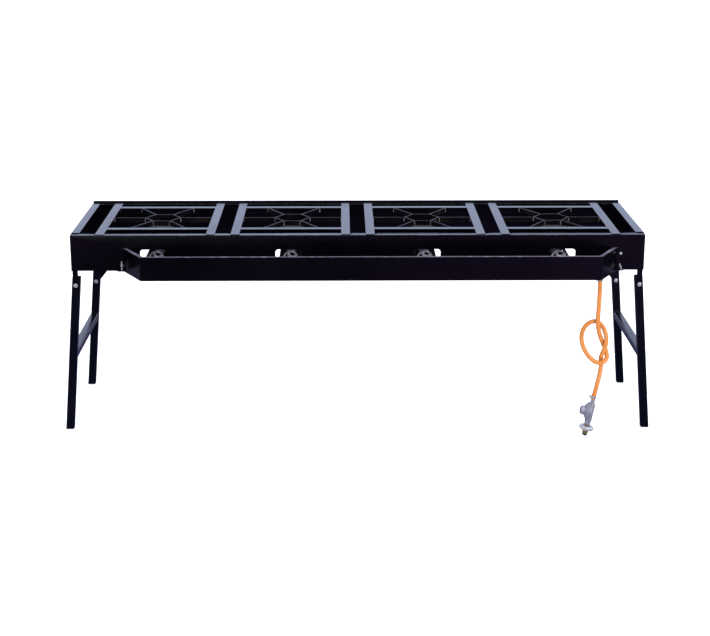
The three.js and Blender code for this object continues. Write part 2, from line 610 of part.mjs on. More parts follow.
function inletNozzle() {
  return turned([[0, -115], [6.5, -115], [7.5, -113.5], [7.5, -109], [9, -107.5], [9, -99],
    [8, -97.5], [8, -83.5], [10.5, -83.5], [10.5, -82 - GAP], [0, -82 - GAP]], 14);
}

function handwheel() {
  const { radius, top, bottom, lobes } = WHEEL;
  const disc = turned([[0, bottom], [radius - 3, bottom], [radius, bottom + 3], [radius, top - 3],
    [radius - 3, top], [0, top]], 24);
  const scoops = Array.from({ length: lobes }, (_, k) => {
    const angle = 2 * Math.PI * k / lobes;
    const [x, y] = [(radius + 2.5) * Math.cos(angle), (radius + 2.5) * Math.sin(angle)];
    return rod([x, y, bottom - 1], [x, y, top + 1], 5, 8);
  });
  return cut(disc, ...scoops, rod([0, 0, bottom - 1], [0, 0, top + 1], 8 + GAP, 14));
}

const hung = (body, dz = 0) => placed(body.translate([0, 0, dz]), Y, TILT, HOSE_END);
add("hose_clip_lower", "zinc", hung(hoseClip(), 3));
add("regulator_body", "dieCast", hung(regulatorBody()));
add("regulator_bonnet", "dieCast", hung(regulatorBonnet()));
add("inlet_nozzle", "brass", hung(inletNozzle()));
add("handwheel", "zinc", hung(handwheel()));

export default stand;
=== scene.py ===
import json
import math
import random

import bmesh
import bpy
from mathutils import Matrix, Vector


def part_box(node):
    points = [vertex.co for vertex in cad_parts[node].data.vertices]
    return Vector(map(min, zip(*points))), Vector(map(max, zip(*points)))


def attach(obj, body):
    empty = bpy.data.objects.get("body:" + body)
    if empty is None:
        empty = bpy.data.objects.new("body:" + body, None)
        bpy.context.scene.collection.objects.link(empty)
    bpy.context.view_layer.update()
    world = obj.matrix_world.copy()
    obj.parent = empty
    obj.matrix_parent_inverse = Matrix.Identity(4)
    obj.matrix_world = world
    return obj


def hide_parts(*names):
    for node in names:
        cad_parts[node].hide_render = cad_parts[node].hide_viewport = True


# Looks of a long gas boiling table on folding legs. Metres, +Z up, the taps face -Y.

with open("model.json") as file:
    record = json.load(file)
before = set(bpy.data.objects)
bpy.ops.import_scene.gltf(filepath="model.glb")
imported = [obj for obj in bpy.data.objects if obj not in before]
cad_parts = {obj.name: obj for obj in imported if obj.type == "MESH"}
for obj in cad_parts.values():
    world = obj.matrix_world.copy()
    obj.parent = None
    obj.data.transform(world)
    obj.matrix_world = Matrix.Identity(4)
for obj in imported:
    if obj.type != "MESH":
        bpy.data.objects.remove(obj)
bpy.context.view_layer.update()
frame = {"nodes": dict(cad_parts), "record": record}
NODES = frame["nodes"]
random.seed(7)

# ---- sizes shared with the frame
BAYS = {n: (n - 2.5) * 0.4 for n in (1, 2, 3, 4)}
SIDES = {"left": -1, "right": 1}
TABLE_Y = (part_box("front_panel")[0].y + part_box("rear_panel")[1].y) / 2
HALF_DEPTH = (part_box("rear_panel")[1].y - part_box("front_panel")[0].y) / 2
TOP_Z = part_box("pot_frame_1")[1].z
JET_Z = 0.529
PIPE = {"y": -0.282, "z": 0.510, "radius": 0.0105}
SPLAY = math.radians(5)
HINGE = {"x": 0.840, "z": 0.4545}
LEG = {"tube": 0.024, "wall": 0.0015, "above": 0.024, "y": 0.2174}
OUTLET_X = 0.714
HOSE_DIAMETER = 0.0135
REGULATOR_TILT = math.radians(11)


def at(x, y, z):
    """A point given from the table's middle line."""
    return Vector((x, y + TABLE_Y, z))


def show(name, data):
    """A new object in the scene that holds data."""
    made = bpy.data.objects.new(name, data)
    bpy.context.scene.collection.objects.link(made)
    return made


def mesh_of(name, bm):
    """Turns bm into a mesh, and frees it."""
    mesh = bpy.data.meshes.new(name)
    bm.to_mesh(mesh)
    bm.free()
    return mesh


# ---- camera
def make_camera():
    data = bpy.data.cameras.new("camera")
    camera = show("camera", data)
    camera.location = (-0.0506, -4.6958, 1.643)
    pitch, yaw = math.radians(15.94), math.radians(0.53)
    camera.rotation_euler = (math.pi / 2 - pitch, 0, -yaw)
    data.sensor_width = 36
    data.lens = 79.5
    data.clip_start = 0.1
    data.clip_end = 100
    bpy.context.scene.camera = camera


make_camera()


# ---- materials
def feed(tree, socket, value):
    """Links a socket to the output that value is, or sets it to value."""
    if isinstance(value, bpy.types.NodeSocket):
        tree.links.new(value, socket)
    else:
        socket.default_value = value


def add_node(tree, kind, links=None, **settings):
    made = tree.nodes.new(kind)
    for name, value in settings.items():
        setattr(made, name, value)
    for name, value in (links or {}).items():
        feed(tree, made.inputs[name], value)
    return made


def mixed(tree, factor, a, b):
    """A colour between a and b."""
    made = add_node(tree, "ShaderNodeMix", data_type="RGBA")
    for socket, value in zip([i for i in made.inputs if i.enabled], (factor, a, b)):
        feed(tree, socket, (*value, 1) if isinstance(value, tuple) else value)
    return [o for o in made.outputs if o.enabled][0]


def ramped(tree, value, start, end, **settings):
    """A number that runs from 0 to 1 while value runs from start to end."""
    return add_node(tree, "ShaderNodeMapRange", {"Value": value, "From Min": start, "From Max": end},
                    **settings).outputs["Result"]


# Marks faces that get a lighter colour: edge wear on rounded edges, and a painted highlight on the guard's
# lip.
WEAR_AND_HIGHLIGHT = "edge_wear_and_highlight"


class Finish:
    """A Principled material whose constants sit on the shader and whose detail is built from noise."""

    def __init__(self, name, **constants):
        self.material = bpy.data.materials.new(name)
        self.material.use_nodes = True
        self.tree = self.material.node_tree
        self.shader = self.tree.nodes["Principled BSDF"]
        for socket, value in constants.items():
            value = (*value, 1) if isinstance(value, tuple) else value
            self.shader.inputs[socket.replace("_", " ")].default_value = value
        self.coords = add_node(self.tree, "ShaderNodeTexCoord").outputs["Object"]
        self.normal = None

    def noise(self, scale, detail=4.0, stretch=None):
        coords = self.coords
        if stretch:
            mapping = add_node(self.tree, "ShaderNodeMapping", {"Vector": coords, "Scale": stretch})
            coords = mapping.outputs["Vector"]
        return add_node(self.tree, "ShaderNodeTexNoise",
                        {"Vector": coords, "Scale": scale, "Detail": detail}).outputs["Fac"]

    def ramp(self, factor, low, high, start=0.35, end=0.65):
        """A number that runs from low to high while factor runs from start to end."""
        return add_node(self.tree, "ShaderNodeMapRange", {
            "Value": factor, "From Min": start, "From Max": end, "To Min": low, "To Max": high,
        }).outputs["Result"]

    def edges(self):
        """1 on the rounded edges that soften() made and on faces marked to be painted lighter as a highlight,
        0 elsewhere.
        """
        return add_node(self.tree, "ShaderNodeAttribute", attribute_name=WEAR_AND_HIGHLIGHT).outputs["Fac"]

    def mix(self, factor, a, b):
        return mixed(self.tree, factor, a, b)

    def times(self, a, b):
        return add_node(self.tree, "ShaderNodeMath", {0: a, 1: b}, operation="MULTIPLY").outputs[0]

    def link(self, socket, value):
        self.tree.links.new(value, self.shader.inputs[socket])

    def bump(self, height, strength, distance):
        links = {"Height": height, "Strength": strength, "Distance": distance}
        if self.normal:
            links["Normal"] = self.normal
        self.normal = add_node(self.tree, "ShaderNodeBump", links).outputs["Normal"]
        self.link("Normal", self.normal)


def paint(name, colour, cloudy, wear_and_highlight, roughness, ior=1.3, least=0.0):
    """Glossy sprayed paint: cloudy colour, smudged gloss, orange peel, lighter edges where the paint wears
    off, and marked faces painted lighter as a highlight.
    """
    made = Finish(name, IOR=ior, Metallic=0.0)
    body = made.mix(made.ramp(made.noise(2.5, 3.0), 0.0, 1.0), colour, cloudy)
    # Lighter colour on the marked faces: edge wear on rounded edges, and on the guard's lip a painted
    # highlight.
    lighter_mask = made.times(made.edges(), made.ramp(made.noise(35.0, 6.0), least, 0.8, 0.5, 0.75))
    made.link("Base Color", made.mix(lighter_mask, body, wear_and_highlight))
    smudge = made.ramp(made.noise(5.0, 5.0), roughness, roughness + 0.10, 0.3, 0.75)
    made.link("Roughness", smudge)
    made.bump(made.noise(260.0, 2.0), 0.08, 0.0003)
    return made.material


def metal(name, colour, dull, roughness, metallic, grain=140.0, dents=0.15):
    """Plated or cast metal: patches of dull colour, brushed or cast grain."""
    made = Finish(name, Metallic=metallic)
    made.link("Base Color", made.mix(made.ramp(made.noise(22.0, 5.0), 0.0, 1.0, 0.4, 0.7), colour, dull))
    made.link("Roughness", made.ramp(made.noise(60.0, 4.0), roughness, roughness + 0.16, 0.3, 0.7))
    made.bump(made.noise(grain * 4, 3.0), dents, 0.0003)
    return made.material


def cast_iron():
    made = Finish("cast_iron", Metallic=0.0, IOR=1.4)
    rust = made.ramp(made.noise(40.0, 8.0), 0.0, 1.0, 0.52, 0.72)
    made.link("Base Color", made.mix(rust, (0.0045, 0.0045, 0.005), (0.016, 0.010, 0.008)))
    made.link("Roughness", made.ramp(made.noise(90.0, 4.0), 0.62, 0.85, 0.3, 0.7))
    made.bump(made.noise(420.0, 4.0), 0.5, 0.0006)
    made.bump(made.noise(60.0, 2.0), 0.25, 0.002)
    return made.material


def hose_rubber():
    """Orange gas hose: faintly blotched, a dull bloom, fine lengthwise scuffs."""
    made = Finish("orange_hose", IOR=1.45, Coat_Weight=0.15, Coat_Roughness=0.3, Subsurface_Weight=0.06)
    made.shader.inputs["Subsurface Radius"].default_value = (0.004, 0.0015, 0.0005)
    blotch = made.mix(made.ramp(made.noise(14.0, 4.0), 0.0, 1.0, 0.35, 0.7), (0.62, 0.225, 0.040),
                      (0.54, 0.185, 0.028))
    scuff = made.ramp(made.noise(90.0, 6.0, (1.0, 1.0, 0.12)), 0.0, 0.45, 0.6, 0.8)
    made.link("Base Color", made.mix(scuff, blotch, (0.70, 0.31, 0.12)))
    made.link("Roughness", made.ramp(made.noise(50.0, 4.0), 0.34, 0.5, 0.3, 0.7))
    made.bump(made.noise(300.0, 3.0), 0.12, 0.0004)
    return made.material


def moulded(name, colour, roughness, grain):
    """Moulded plastic or rubber with a fine spark-eroded grain."""
    made = Finish(name, IOR=1.46)
    pale = tuple(c * 1.7 + 0.004 for c in colour)
    made.link("Base Color", made.mix(made.ramp(made.noise(30.0, 5.0), 0.0, 0.7), colour, pale))
    made.link("Roughness", made.ramp(made.noise(80.0, 4.0), roughness, roughness + 0.15, 0.3, 0.7))
    made.bump(made.noise(grain, 2.0), 0.2, 0.0003)
    return made.material


def heat_dulled_paint():
    """Black paint on the strips over the flames: satin, with brown and straw scorching."""
    made = Finish("pot_support_paint", IOR=1.2)
    scorch = made.ramp(made.noise(16.0, 6.0), 0.0, 1.0, 0.5, 0.75)
    dark = made.mix(scorch, (0.0022, 0.0020, 0.0034), (0.011, 0.0065, 0.0055))
    lighter_mask = made.times(made.edges(), made.ramp(made.noise(50.0, 6.0), 0.0, 0.9, 0.45, 0.7))
    made.link("Base Color", made.mix(lighter_mask, dark, (0.055, 0.050, 0.060)))
    made.link("Roughness", made.ramp(made.noise(30.0, 5.0), 0.24, 0.42, 0.3, 0.7))
    made.bump(made.noise(180.0, 3.0), 0.2, 0.0006)
    return made.material


BLACK = ((0.0010, 0.0008, 0.0018), (0.0018, 0.0012, 0.0032))
FRAME_PAINT = paint("frame_paint", *BLACK, (0.07, 0.068, 0.095), 0.15)
# On the guard this lighter lavender colour, on its lip and its rounded edges, is a painted highlight.
GUARD_PAINT = paint("guard_paint", *BLACK, (0.44, 0.43, 0.58), 0.15, least=0.25)
LEG_PAINT = paint("leg_paint", (0.0010, 0.0010, 0.0028), (0.0018, 0.0021, 0.0062), (0.05, 0.05, 0.066), 0.18)
SUPPORT_PAINT = heat_dulled_paint()
PIPE_PAINT = paint("pipe_paint", (0.008, 0.008, 0.010), (0.014, 0.013, 0.017), (0.10, 0.10, 0.11), 0.30, 1.4)
ZINC = metal("bright_zinc", (0.50, 0.50, 0.56), (0.32, 0.32, 0.37), 0.24, 0.55)
PLATED = metal("plated_brass", (0.62, 0.62, 0.72), (0.36, 0.35, 0.40), 0.20, 0.6)
BRASS = metal("brass", (0.60, 0.43, 0.17), (0.36, 0.26, 0.11), 0.26, 0.8)
DIE_CAST = metal("die_cast_grey", (0.34, 0.34, 0.41), (0.25, 0.25, 0.31), 0.40, 0.55, 90.0, 0.3)
WHEEL_METAL = metal("handwheel_metal", (0.52, 0.53, 0.60), (0.40, 0.41, 0.47), 0.28, 0.5, 90.0, 0.2)
WELD = metal("weld_bead", (0.34, 0.31, 0.31), (0.12, 0.10, 0.10), 0.28, 0.6, 90.0, 0.2)
IRON = cast_iron()
HOSE_RUBBER = hose_rubber()
KNOB_PLASTIC = moulded("knob_plastic", (0.012, 0.012, 0.013), 0.38, 500.0)
CAP_PLASTIC = moulded("foot_cap_plastic", (0.007, 0.007, 0.009), 0.45, 500.0)
SEAL_RUBBER = moulded("seal_rubber", (0.009, 0.009, 0.010), 0.5, 700.0)
MARK_PAINT = moulded("mark_paint", (0.55, 0.55, 0.56), 0.4, 300.0)

# The first finish of each slot is the one that a CAD node shows.
SLOTS = {
    "gloss_black_paint": (FRAME_PAINT, GUARD_PAINT, LEG_PAINT), "pot_support_paint": (SUPPORT_PAINT, WELD),
    "zinc_bolts": (ZINC,), "cast_iron": (IRON,), "brass": (BRASS,), "plated_brass": (PLATED,),
    "black_plastic": (KNOB_PLASTIC, CAP_PLASTIC), "pipe_paint": (PIPE_PAINT,), "orange_hose": (HOSE_RUBBER,),
    "die_cast_grey": (DIE_CAST, WHEEL_METAL),
}


# ---- mesh tools
def loft(bm, rings, loop=False):
    """Skins rings of the same number of points; the two ends are capped unless the rings loop."""
    made = [[bm.verts.new(p) for p in ring] for ring in rings]
    pairs = list(zip(made, made[1:]))
    if loop:
        pairs.append((made[-1], made[0]))
    count = len(made[0])
    for a, b in pairs:
        for i in range(count):
            j = (i + 1) % count
            bm.faces.new((a[i], a[j], b[j], b[i]))
    if not loop:
        bm.faces.new(made[0][::-1])
        bm.faces.new(made[-1])


def circle(radius, steps):
    return [(radius * math.cos(2 * math.pi * i / steps), radius * math.sin(2 * math.pi * i / steps))
            for i in range(steps)]


def hexagon(across, steps=24):
    """A hexagon's outline, across its flats, sampled at even angles."""
    out = []
    for i in range(steps):
        angle = 2 * math.pi * i / steps
        nearest = round(angle / (math.pi / 3)) * math.pi / 3
        radius = across / 2 / math.cos(angle - nearest)
        out.append((radius * math.cos(angle), radius * math.sin(angle)))
    return out


def rounded_square(width, corner, steps=4):
    half = width / 2 - corner
    out = []
    for k, (sx, sy) in enumerate(((1, 1), (-1, 1), (-1, -1), (1, -1))):
        for i in range(steps + 1):
            angle = (k + i / steps) * math.pi / 2
            out.append((sx * half + corner * math.cos(angle), sy * half + corner * math.sin(angle)))
    return out


def filleted(points, radius, steps=3):
    """Rounds each inner corner of an open polyline."""
    out = [points[0]]
    for before, corner, after in zip(points, points[1:], points[2:]):
        p, c, n = (Vector((*q, 0)) for q in (before, corner, after))
        reach = min(radius, (p - c).length * 0.45, (n - c).length * 0.45)
        start, end = c + (p - c).normalized() * reach, c + (n - c).normalized() * reach
        for i in range(steps + 1):
            t = i / steps
            q = start * (1 - t) ** 2 + c * 2 * t * (1 - t) + end * t ** 2
            out.append((q.x, q.y))
    out.append(points[-1])
    return out


def fluted(place, rows, count, reach=lambda row, k: max(row[0], 1e-6)):
    """Rings about place's Z axis; reach gives a row's radius in each of count directions."""
    return [[place @ Vector((reach(row, k) * c, reach(row, k) * s, row[1]))
             for k, (c, s) in enumerate(circle(1, count))] for row in rows]


def lathe(bm, profile, place, steps=48, fillet=0.0006):
    """Turns a profile of (radius, height) pairs about place's Z axis."""
    loft(bm, fluted(place, filleted(profile, fillet), steps))
    bmesh.ops.remove_doubles(bm, verts=bm.verts, dist=4e-6)


def ring(bm, inner, outer, low, high, place, steps=48, fillet=0.0004):
    """A turned washer or band."""
    middle = (inner + outer) / 2
    profile = filleted([(middle, low), (outer, low), (outer, high), (inner, high), (inner, low),
                        (middle, low)], fillet)[:-1]
    loft(bm, fluted(place, profile, steps), loop=True)


def prism(bm, outline, low, high, place):
    loft(bm, [[place @ Vector((x, y, h)) for x, y in outline] for h in (low, high)])


def block(bm, low, high, place=Matrix()):
    """A box between two corners."""
    (x0, y0, z0), (x1, y1, z1) = low, high
    prism(bm, [(x0, y0), (x1, y0), (x1, y1), (x0, y1)], z0, z1, place)


def raised(place, height):
    return place @ Matrix.Translation((0, 0, height))


def aimed(origin, direction, spin=0.0):
    """A frame whose Z axis points along direction."""
    turn = Vector(direction).to_track_quat("Z", "Y").to_matrix().to_4x4()
    return Matrix.Translation(origin) @ turn @ Matrix.Rotation(spin, 4, "Z")


def soften(bm, radius, segments=2, angle=28, chosen=None):
    """Rounds the convex edges sharper than angle, or the chosen ones."""
    limit = math.radians(angle)
    edges = [e for e in bm.edges if len(e.link_faces) == 2 and e.is_convex
             and e.calc_face_angle(0) > limit and (chosen is None or chosen(e))]
    if edges:
        layer = bm.faces.layers.float.get(WEAR_AND_HIGHLIGHT) or bm.faces.layers.float.new(WEAR_AND_HIGHLIGHT)
        rounded = bmesh.ops.bevel(bm, geom=edges, offset=radius, segments=segments, profile=0.5,
                                  affect="EDGES", clamp_overlap=True)
        for face in rounded["faces"]:
            face[layer] = 1.0


def copy_of(node):
    """The CAD node's shape, with its triangles merged into whole faces."""
    bm = bmesh.new()
    bm.from_mesh(NODES[node].data)
    bmesh.ops.remove_doubles(bm, verts=bm.verts, dist=1e-5)
    bmesh.ops.dissolve_limit(bm, angle_limit=math.radians(0.6), verts=bm.verts, edges=bm.edges)
    return bm


def apply_modifier(made, kind, **settings):
    modifier = made.modifiers.new(kind.lower(), kind)
    for name, value in settings.items():
        setattr(modifier, name, value)
    graph = bpy.context.evaluated_depsgraph_get()
    mesh = bpy.data.meshes.new_from_object(made.evaluated_get(graph))
    made.modifiers.clear()
    made.data = mesh


def keep_faces_flat(mesh):
    """Shades whole faces flat and curved ones smooth, and turns the shading across the rounded edges."""
    wear_and_highlight = [item.value > 0.5 for item in mesh.attributes[WEAR_AND_HIGHLIGHT].data]
    touching = [[] for _ in mesh.vertices]
    for face in mesh.polygons:
        for vertex in face.vertices:
            touching[vertex].append(face)
    normals = [None] * len(mesh.loops)
    for face in mesh.polygons:
        reach = math.cos(math.radians(60 if wear_and_highlight[face.index] else 15))
        for loop, vertex in zip(face.loop_indices, face.vertices):
            total = Vector()
            for other in touching[vertex]:
                if other.normal.dot(face.normal) > reach:
                    total += other.normal * other.area * (1 if wear_and_highlight[other.index] else 1000)
            normals[loop] = total.normalized() if total.length > 0 else face.normal
    mesh.normals_split_custom_set(normals)


def dress(made, body, stands_for=()):
    """Gives a piece its body and the nodes that it replaces."""
    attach(made, body)
    if stands_for:
        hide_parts(*stands_for)
    return made


def piece(name, bm, material, body="root", stands_for=(), smooth=40):
    """Makes an object with its material and body, and names the nodes that it replaces."""
    bmesh.ops.recalc_face_normals(bm, faces=bm.faces)
    mesh = mesh_of(name, bm)
    mesh.polygons.foreach_set("use_smooth", [True] * len(mesh.polygons))
    mesh.set_sharp_from_angle(angle=math.radians(smooth))
    made = show(name, mesh)
    mesh.materials.append(material)
    if WEAR_AND_HIGHLIGHT in mesh.attributes:
        keep_faces_flat(mesh)
    return dress(made, body, stands_for)


def fused(name, bm, voxel, material, smoothing, stands_for, cutter=None):
    """Joins overlapping shells into one skin with soft inner corners, as a casting has."""
    made = piece(name, bm, material, stands_for=stands_for)
    apply_modifier(made, "REMESH", mode="VOXEL", voxel_size=voxel)
    if cutter:
        apply_modifier(made, "BOOLEAN", object=cutter, operation="DIFFERENCE", solver="EXACT")
    apply_modifier(made, "SMOOTH", factor=0.5, iterations=smoothing)
    made.data.polygons.foreach_set("use_smooth", [True] * len(made.data.polygons))
    return made


def bead(bm, start, end, radius, sides=8):
    """A weld bead along a line: a rounded, rippled tube with closed ends."""
    start, end = Vector(start), Vector(end)
    length = (end - start).length
    place = aimed(start, end - start)
    ripples = max(2, round(length / (radius * 1.1)))
    steps = ripples * 4
    phase = random.uniform(0, 3)
    rows = []
    for i in range(steps + 1):
        t = i / steps
        taper = math.sqrt(max(0.0, 1 - (2 * t - 1) ** 8))
        wave = 0.86 + 0.14 * abs(math.sin(math.pi * ripples * t + phase)) + random.uniform(-0.03, 0.03)
        rows.append((radius * max(0.08, taper) * wave, t * length))
    loft(bm, fluted(place, rows, sides))


# ---- hose with its overhand knot
HOSE_START = at(OUTLET_X, PIPE["y"], 0)
# Offsets from the barb along X and towards the back, and heights above the floor, in millimetres.
HOSE_ROUTE = [
    (0, 0, 488.4), (0, 0, 459), (0, 0, 426), (-1, -1, 392), (-2, -5, 367), (-2, -8, 348),
    (1, -8, 328), (8, -4, 306), (16, 3, 287), (24, 9, 270), (29.5, 8, 255), (29.5, 0, 241),
    (19, -8.5, 230), (0, -7, 228), (-18, -1, 239), (-34, 2, 259), (-45, 2, 284), (-48, 2, 309),
    (-42, 3, 331), (-28, 5, 347), (-8, 7.5, 352), (10, 5, 342), (20.5, -1, 324), (24.5, -8, 304),
    (23, -11, 286), (19, -9, 268), (14, -1.5, 250), (13.5, 8.5, 233), (14.5, 6, 213), (9.5, -5, 189),
    (1, -17.5, 161), (-5.7, -20, 133), (-9, -20, 116),
]
HOSE_POINTS = [HOSE_START + Vector((x, y, z)) / 1000 for x, y, z in HOSE_ROUTE]


def between(p, q, start, end, t):
    """The point at t on the line that is at p at start and at q at end."""
    return p * ((end - t) / (end - start)) + q * ((t - start) / (end - start))


def through(points, steps):
    """A centripetal Catmull-Rom curve through the points."""
    padded = [points[0] * 2 - points[1], *points, points[-1] * 2 - points[-2]]
    out = []
    for p0, p1, p2, p3 in zip(padded, padded[1:], padded[2:], padded[3:]):
        t0 = 0.0
        t1 = t0 + (p1 - p0).length ** 0.5
        t2 = t1 + (p2 - p1).length ** 0.5
        t3 = t2 + (p3 - p2).length ** 0.5
        for i in range(steps):
            t = t1 + (t2 - t1) * i / steps
            a1, a2, a3 = between(p0, p1, t0, t1, t), between(p1, p2, t1, t2, t), between(p2, p3, t2, t3, t)
            out.append(between(between(a1, a2, t0, t2, t), between(a2, a3, t1, t3, t), t1, t2, t))
    return [*out, points[-1]]


HOSE_LINE = through(HOSE_POINTS, 10)


def make_hose():
    curve = bpy.data.curves.new("gas_hose", "CURVE")
    curve.dimensions = "3D"
    curve.bevel_depth = HOSE_DIAMETER / 2
    curve.bevel_resolution = 7
    curve.use_fill_caps = True
    spline = curve.splines.new("POLY")
    spline.points.add(len(HOSE_LINE) - 1)
    for point, place in zip(spline.points, HOSE_LINE):
        point.co = (*place, 1)
    spline.use_smooth = True
    curve.materials.append(HOSE_RUBBER)
    return dress(show("gas_hose", curve), "root", ["hose"])


hose = make_hose()
HUNG = Matrix.Translation(HOSE_POINTS[-1]) @ Matrix.Rotation(REGULATOR_TILT, 4, "Y")


# ---- sheet metal body
def near(value, target, within=2e-4):
    return abs(value - target) < within


def make_panels():
    """Folded sheet: a true bend along the top, a cut rim at the back, cut edges just broken."""
    bend = 0.0021
    for node, axis, end in (("front_panel", 1, 0), ("rear_panel", None, None), ("left_end_panel", 0, 0),
                            ("right_end_panel", 0, 1)):
        bm, box = copy_of(node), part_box(node)
        if axis is not None:
            soften(bm, bend, 4, chosen=lambda e: all(
                near(v.co[axis], box[end][axis]) and near(v.co.z, box[1].z) for v in e.verts))
        soften(bm, 0.00035, 2)
        piece(node + "_folded", bm, FRAME_PAINT, stands_for=[node])


def make_plain(node, radius, material, body="root"):
    bm = copy_of(node)
    soften(bm, radius, 3)
    piece(node + "_finished", bm, material, body, [node])


def make_guard():
    """Bent sheet: round bends at its four corners, and a folded lip whose top and edges are painted lighter as
    a highlight.
    """
    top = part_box("guard")[1].z
    faces = (-0.630, 0.705)
    roots = (-0.692, 0.767)
    bm = copy_of("guard")

    def upright(e):
        a, b = (v.co for v in e.verts)
        close = any(near(a.x, x, 0.003) for x in faces + roots)
        return close and near(a.x, b.x) and near(a.y, b.y)

    def along_lip(e):
        """The outer edge of the lip, between the two tabs."""
        on_top = all(near(v.co.z, top) and roots[0] < v.co.x < roots[1] for v in e.verts)
        return on_top and any(min(v.co.z for v in f.verts) < top - 0.01 for f in e.link_faces)

    tabs = (roots[0] - 0.006, roots[1] + 0.006)
    for x in tabs:
        bmesh.ops.bisect_plane(bm, geom=bm.verts[:] + bm.edges[:] + bm.faces[:], plane_co=(x, 0, 0),
                               plane_no=(1, 0, 0))
    soften(bm, 0.003, 5, 10, upright)
    painted_lighter = bm.faces.layers.float[WEAR_AND_HIGHLIGHT]
    for face in bm.faces:
        face[painted_lighter] = 0.0
    soften(bm, 0.0022, 4, 30, along_lip)
    soften(bm, 0.0003, 2)
    # Marks the lip's top faces to be painted lighter: a painted highlight.
    for face in bm.faces:
        middle = face.calc_center_median()
        if face.normal.z > 0.9 and near(middle.z, top) and tabs[0] < middle.x < tabs[1]:
            face[painted_lighter] = 1.0
    piece("guard_folded", bm, GUARD_PAINT, stands_for=["guard"])


make_panels()
make_guard()
for n in BAYS:
    make_plain(f"pot_frame_{n}", 0.0007, FRAME_PAINT, f"pot_stand_{n}")
    make_plain(f"pot_support_{n}", 0.0005, SUPPORT_PAINT, f"pot_stand_{n}")
    make_plain(f"burner_carrier_{n}", 0.0004, FRAME_PAINT)


# ---- weld beads
def upright_bead(bm, foot, top, radius):
    bead(bm, foot, Vector((foot.x, foot.y, top)), radius)


def make_support_welds(n):
    """Beads where the strips meet: down the ring's corners and at the arms' ends."""
    x0, radius, top = BAYS[n], 0.055, TOP_Z - 0.0025
    opening = (0.1495, 0.1402)  # half the frame's clear width and depth
    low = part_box(f"pot_support_{n}")[0].z + 0.0008
    bm = bmesh.new()
    for k in range(6):
        angle = k * math.pi / 3
        c, s = math.cos(angle), math.sin(angle)
        for side in (-1, 1):
            turn = angle + side * 0.055
            foot = at(x0 + (radius - 0.0004) * math.cos(turn), (radius - 0.0004) * math.sin(turn), low)
            upright_bead(bm, foot, top, 0.0016)
        reach = min(half / abs(part) for half, part in zip(opening, (c, s)) if abs(part) > 0.1)
        for side in (-1, 1):
            foot = at(x0 + reach * c - side * 0.0018 * s, reach * s + side * 0.0018 * c, low)
            upright_bead(bm, foot, top, 0.0014)
    piece(f"pot_support_welds_{n}", bm, WELD, f"pot_stand_{n}")


def make_frame_welds(n):
    """Beads under the pot frame where its rails butt against its bars."""
    x0, low, high = BAYS[n], TOP_Z - 0.0155, TOP_Z - 0.003
    bm = bmesh.new()
    for sx in (-1, 1):
        for y in (-0.1405, 0.1405, -0.1665, 0.1665):
            foot = at(x0 + sx * 0.1498, y, low)
            upright_bead(bm, foot, high, 0.0013)
    piece(f"pot_frame_welds_{n}", bm, FRAME_PAINT, f"pot_stand_{n}")


def make_leg_welds(name, side):
    """Beads round both ends of the crossbar, and along the ears of the hanger."""
    low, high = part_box(f"leg_crossbar_{name}")
    bm = bmesh.new()
    for y, inward in ((low.y, 1), (high.y, -1)):
        for over in (1, -1):
            centre = on_leg(side, leg_length(CROSSBAR_Z) - over * 0.0122, 0)
            across = Vector((side * math.cos(SPLAY), 0, math.sin(SPLAY))) * 0.010
            middle = Vector((centre.x, y + inward * 0.0006, centre.z))
            bead(bm, middle - across, middle + across, 0.0016)
    piece(f"crossbar_welds_{name}", bm, LEG_PAINT, f"leg_frame_{name}")
    bm = bmesh.new()
    x = side * 0.8441
    for y in (-0.2288, 0.2288):
        upright_bead(bm, at(x, y, 0.562), 0.583, 0.0015)
    piece(f"hanger_welds_{name}", bm, FRAME_PAINT)


# ---- burners
def cast_again(first, n, name, node):
    """The first bay's casting, again in bay n."""
    mesh = first.data.copy()
    mesh.transform(Matrix.Translation((BAYS[n] - BAYS[1], 0, 0)))
    dress(show(f"{name}_{n}", mesh), "root", [f"{node}_{n}"])


def make_burner():
    """A cast bowl on its foot, with the mixing tube running forward to its bell mouth."""
    centre = at(BAYS[1], 0, 0)
    forward = aimed(centre + Vector((0, 0, JET_Z)), (0, -1, 0))
    bm = bmesh.new()
    bowl = [(0, 0.5045), (0.0165, 0.5045), (0.0165, 0.5205), (0.0235, 0.540), (0.0455, 0.5558),
            (0.0515, 0.562), (0.0515, 0.5745), (0.0475, 0.5745), (0.0475, 0.5695), (0, 0.5695)]
    lathe(bm, bowl, Matrix.Translation(centre), 56, 0.002)
    tube = [(0.0148, 0.015), (0.0148, 0.163), (0.0225, 0.2025), (0.0198, 0.2025), (0.0112, 0.170),
            (0.0112, 0.060)]
    loft(bm, fluted(forward, tube, 48), loop=True)
    for k in range(3):
        angle = math.pi / 2 + k * 2 * math.pi / 3
        c, s = math.cos(angle), math.sin(angle)
        spot = centre + Vector((0.040 * c, 0.040 * s, 0.553))
        lathe(bm, [(0, -0.012), (0.005, -0.012), (0.007, 0.006), (0, 0.006)], Matrix.Translation(spot), 20)
    return fused("burner_casting_1", bm, 0.0016, IRON, 3, ["burner_body_1"])


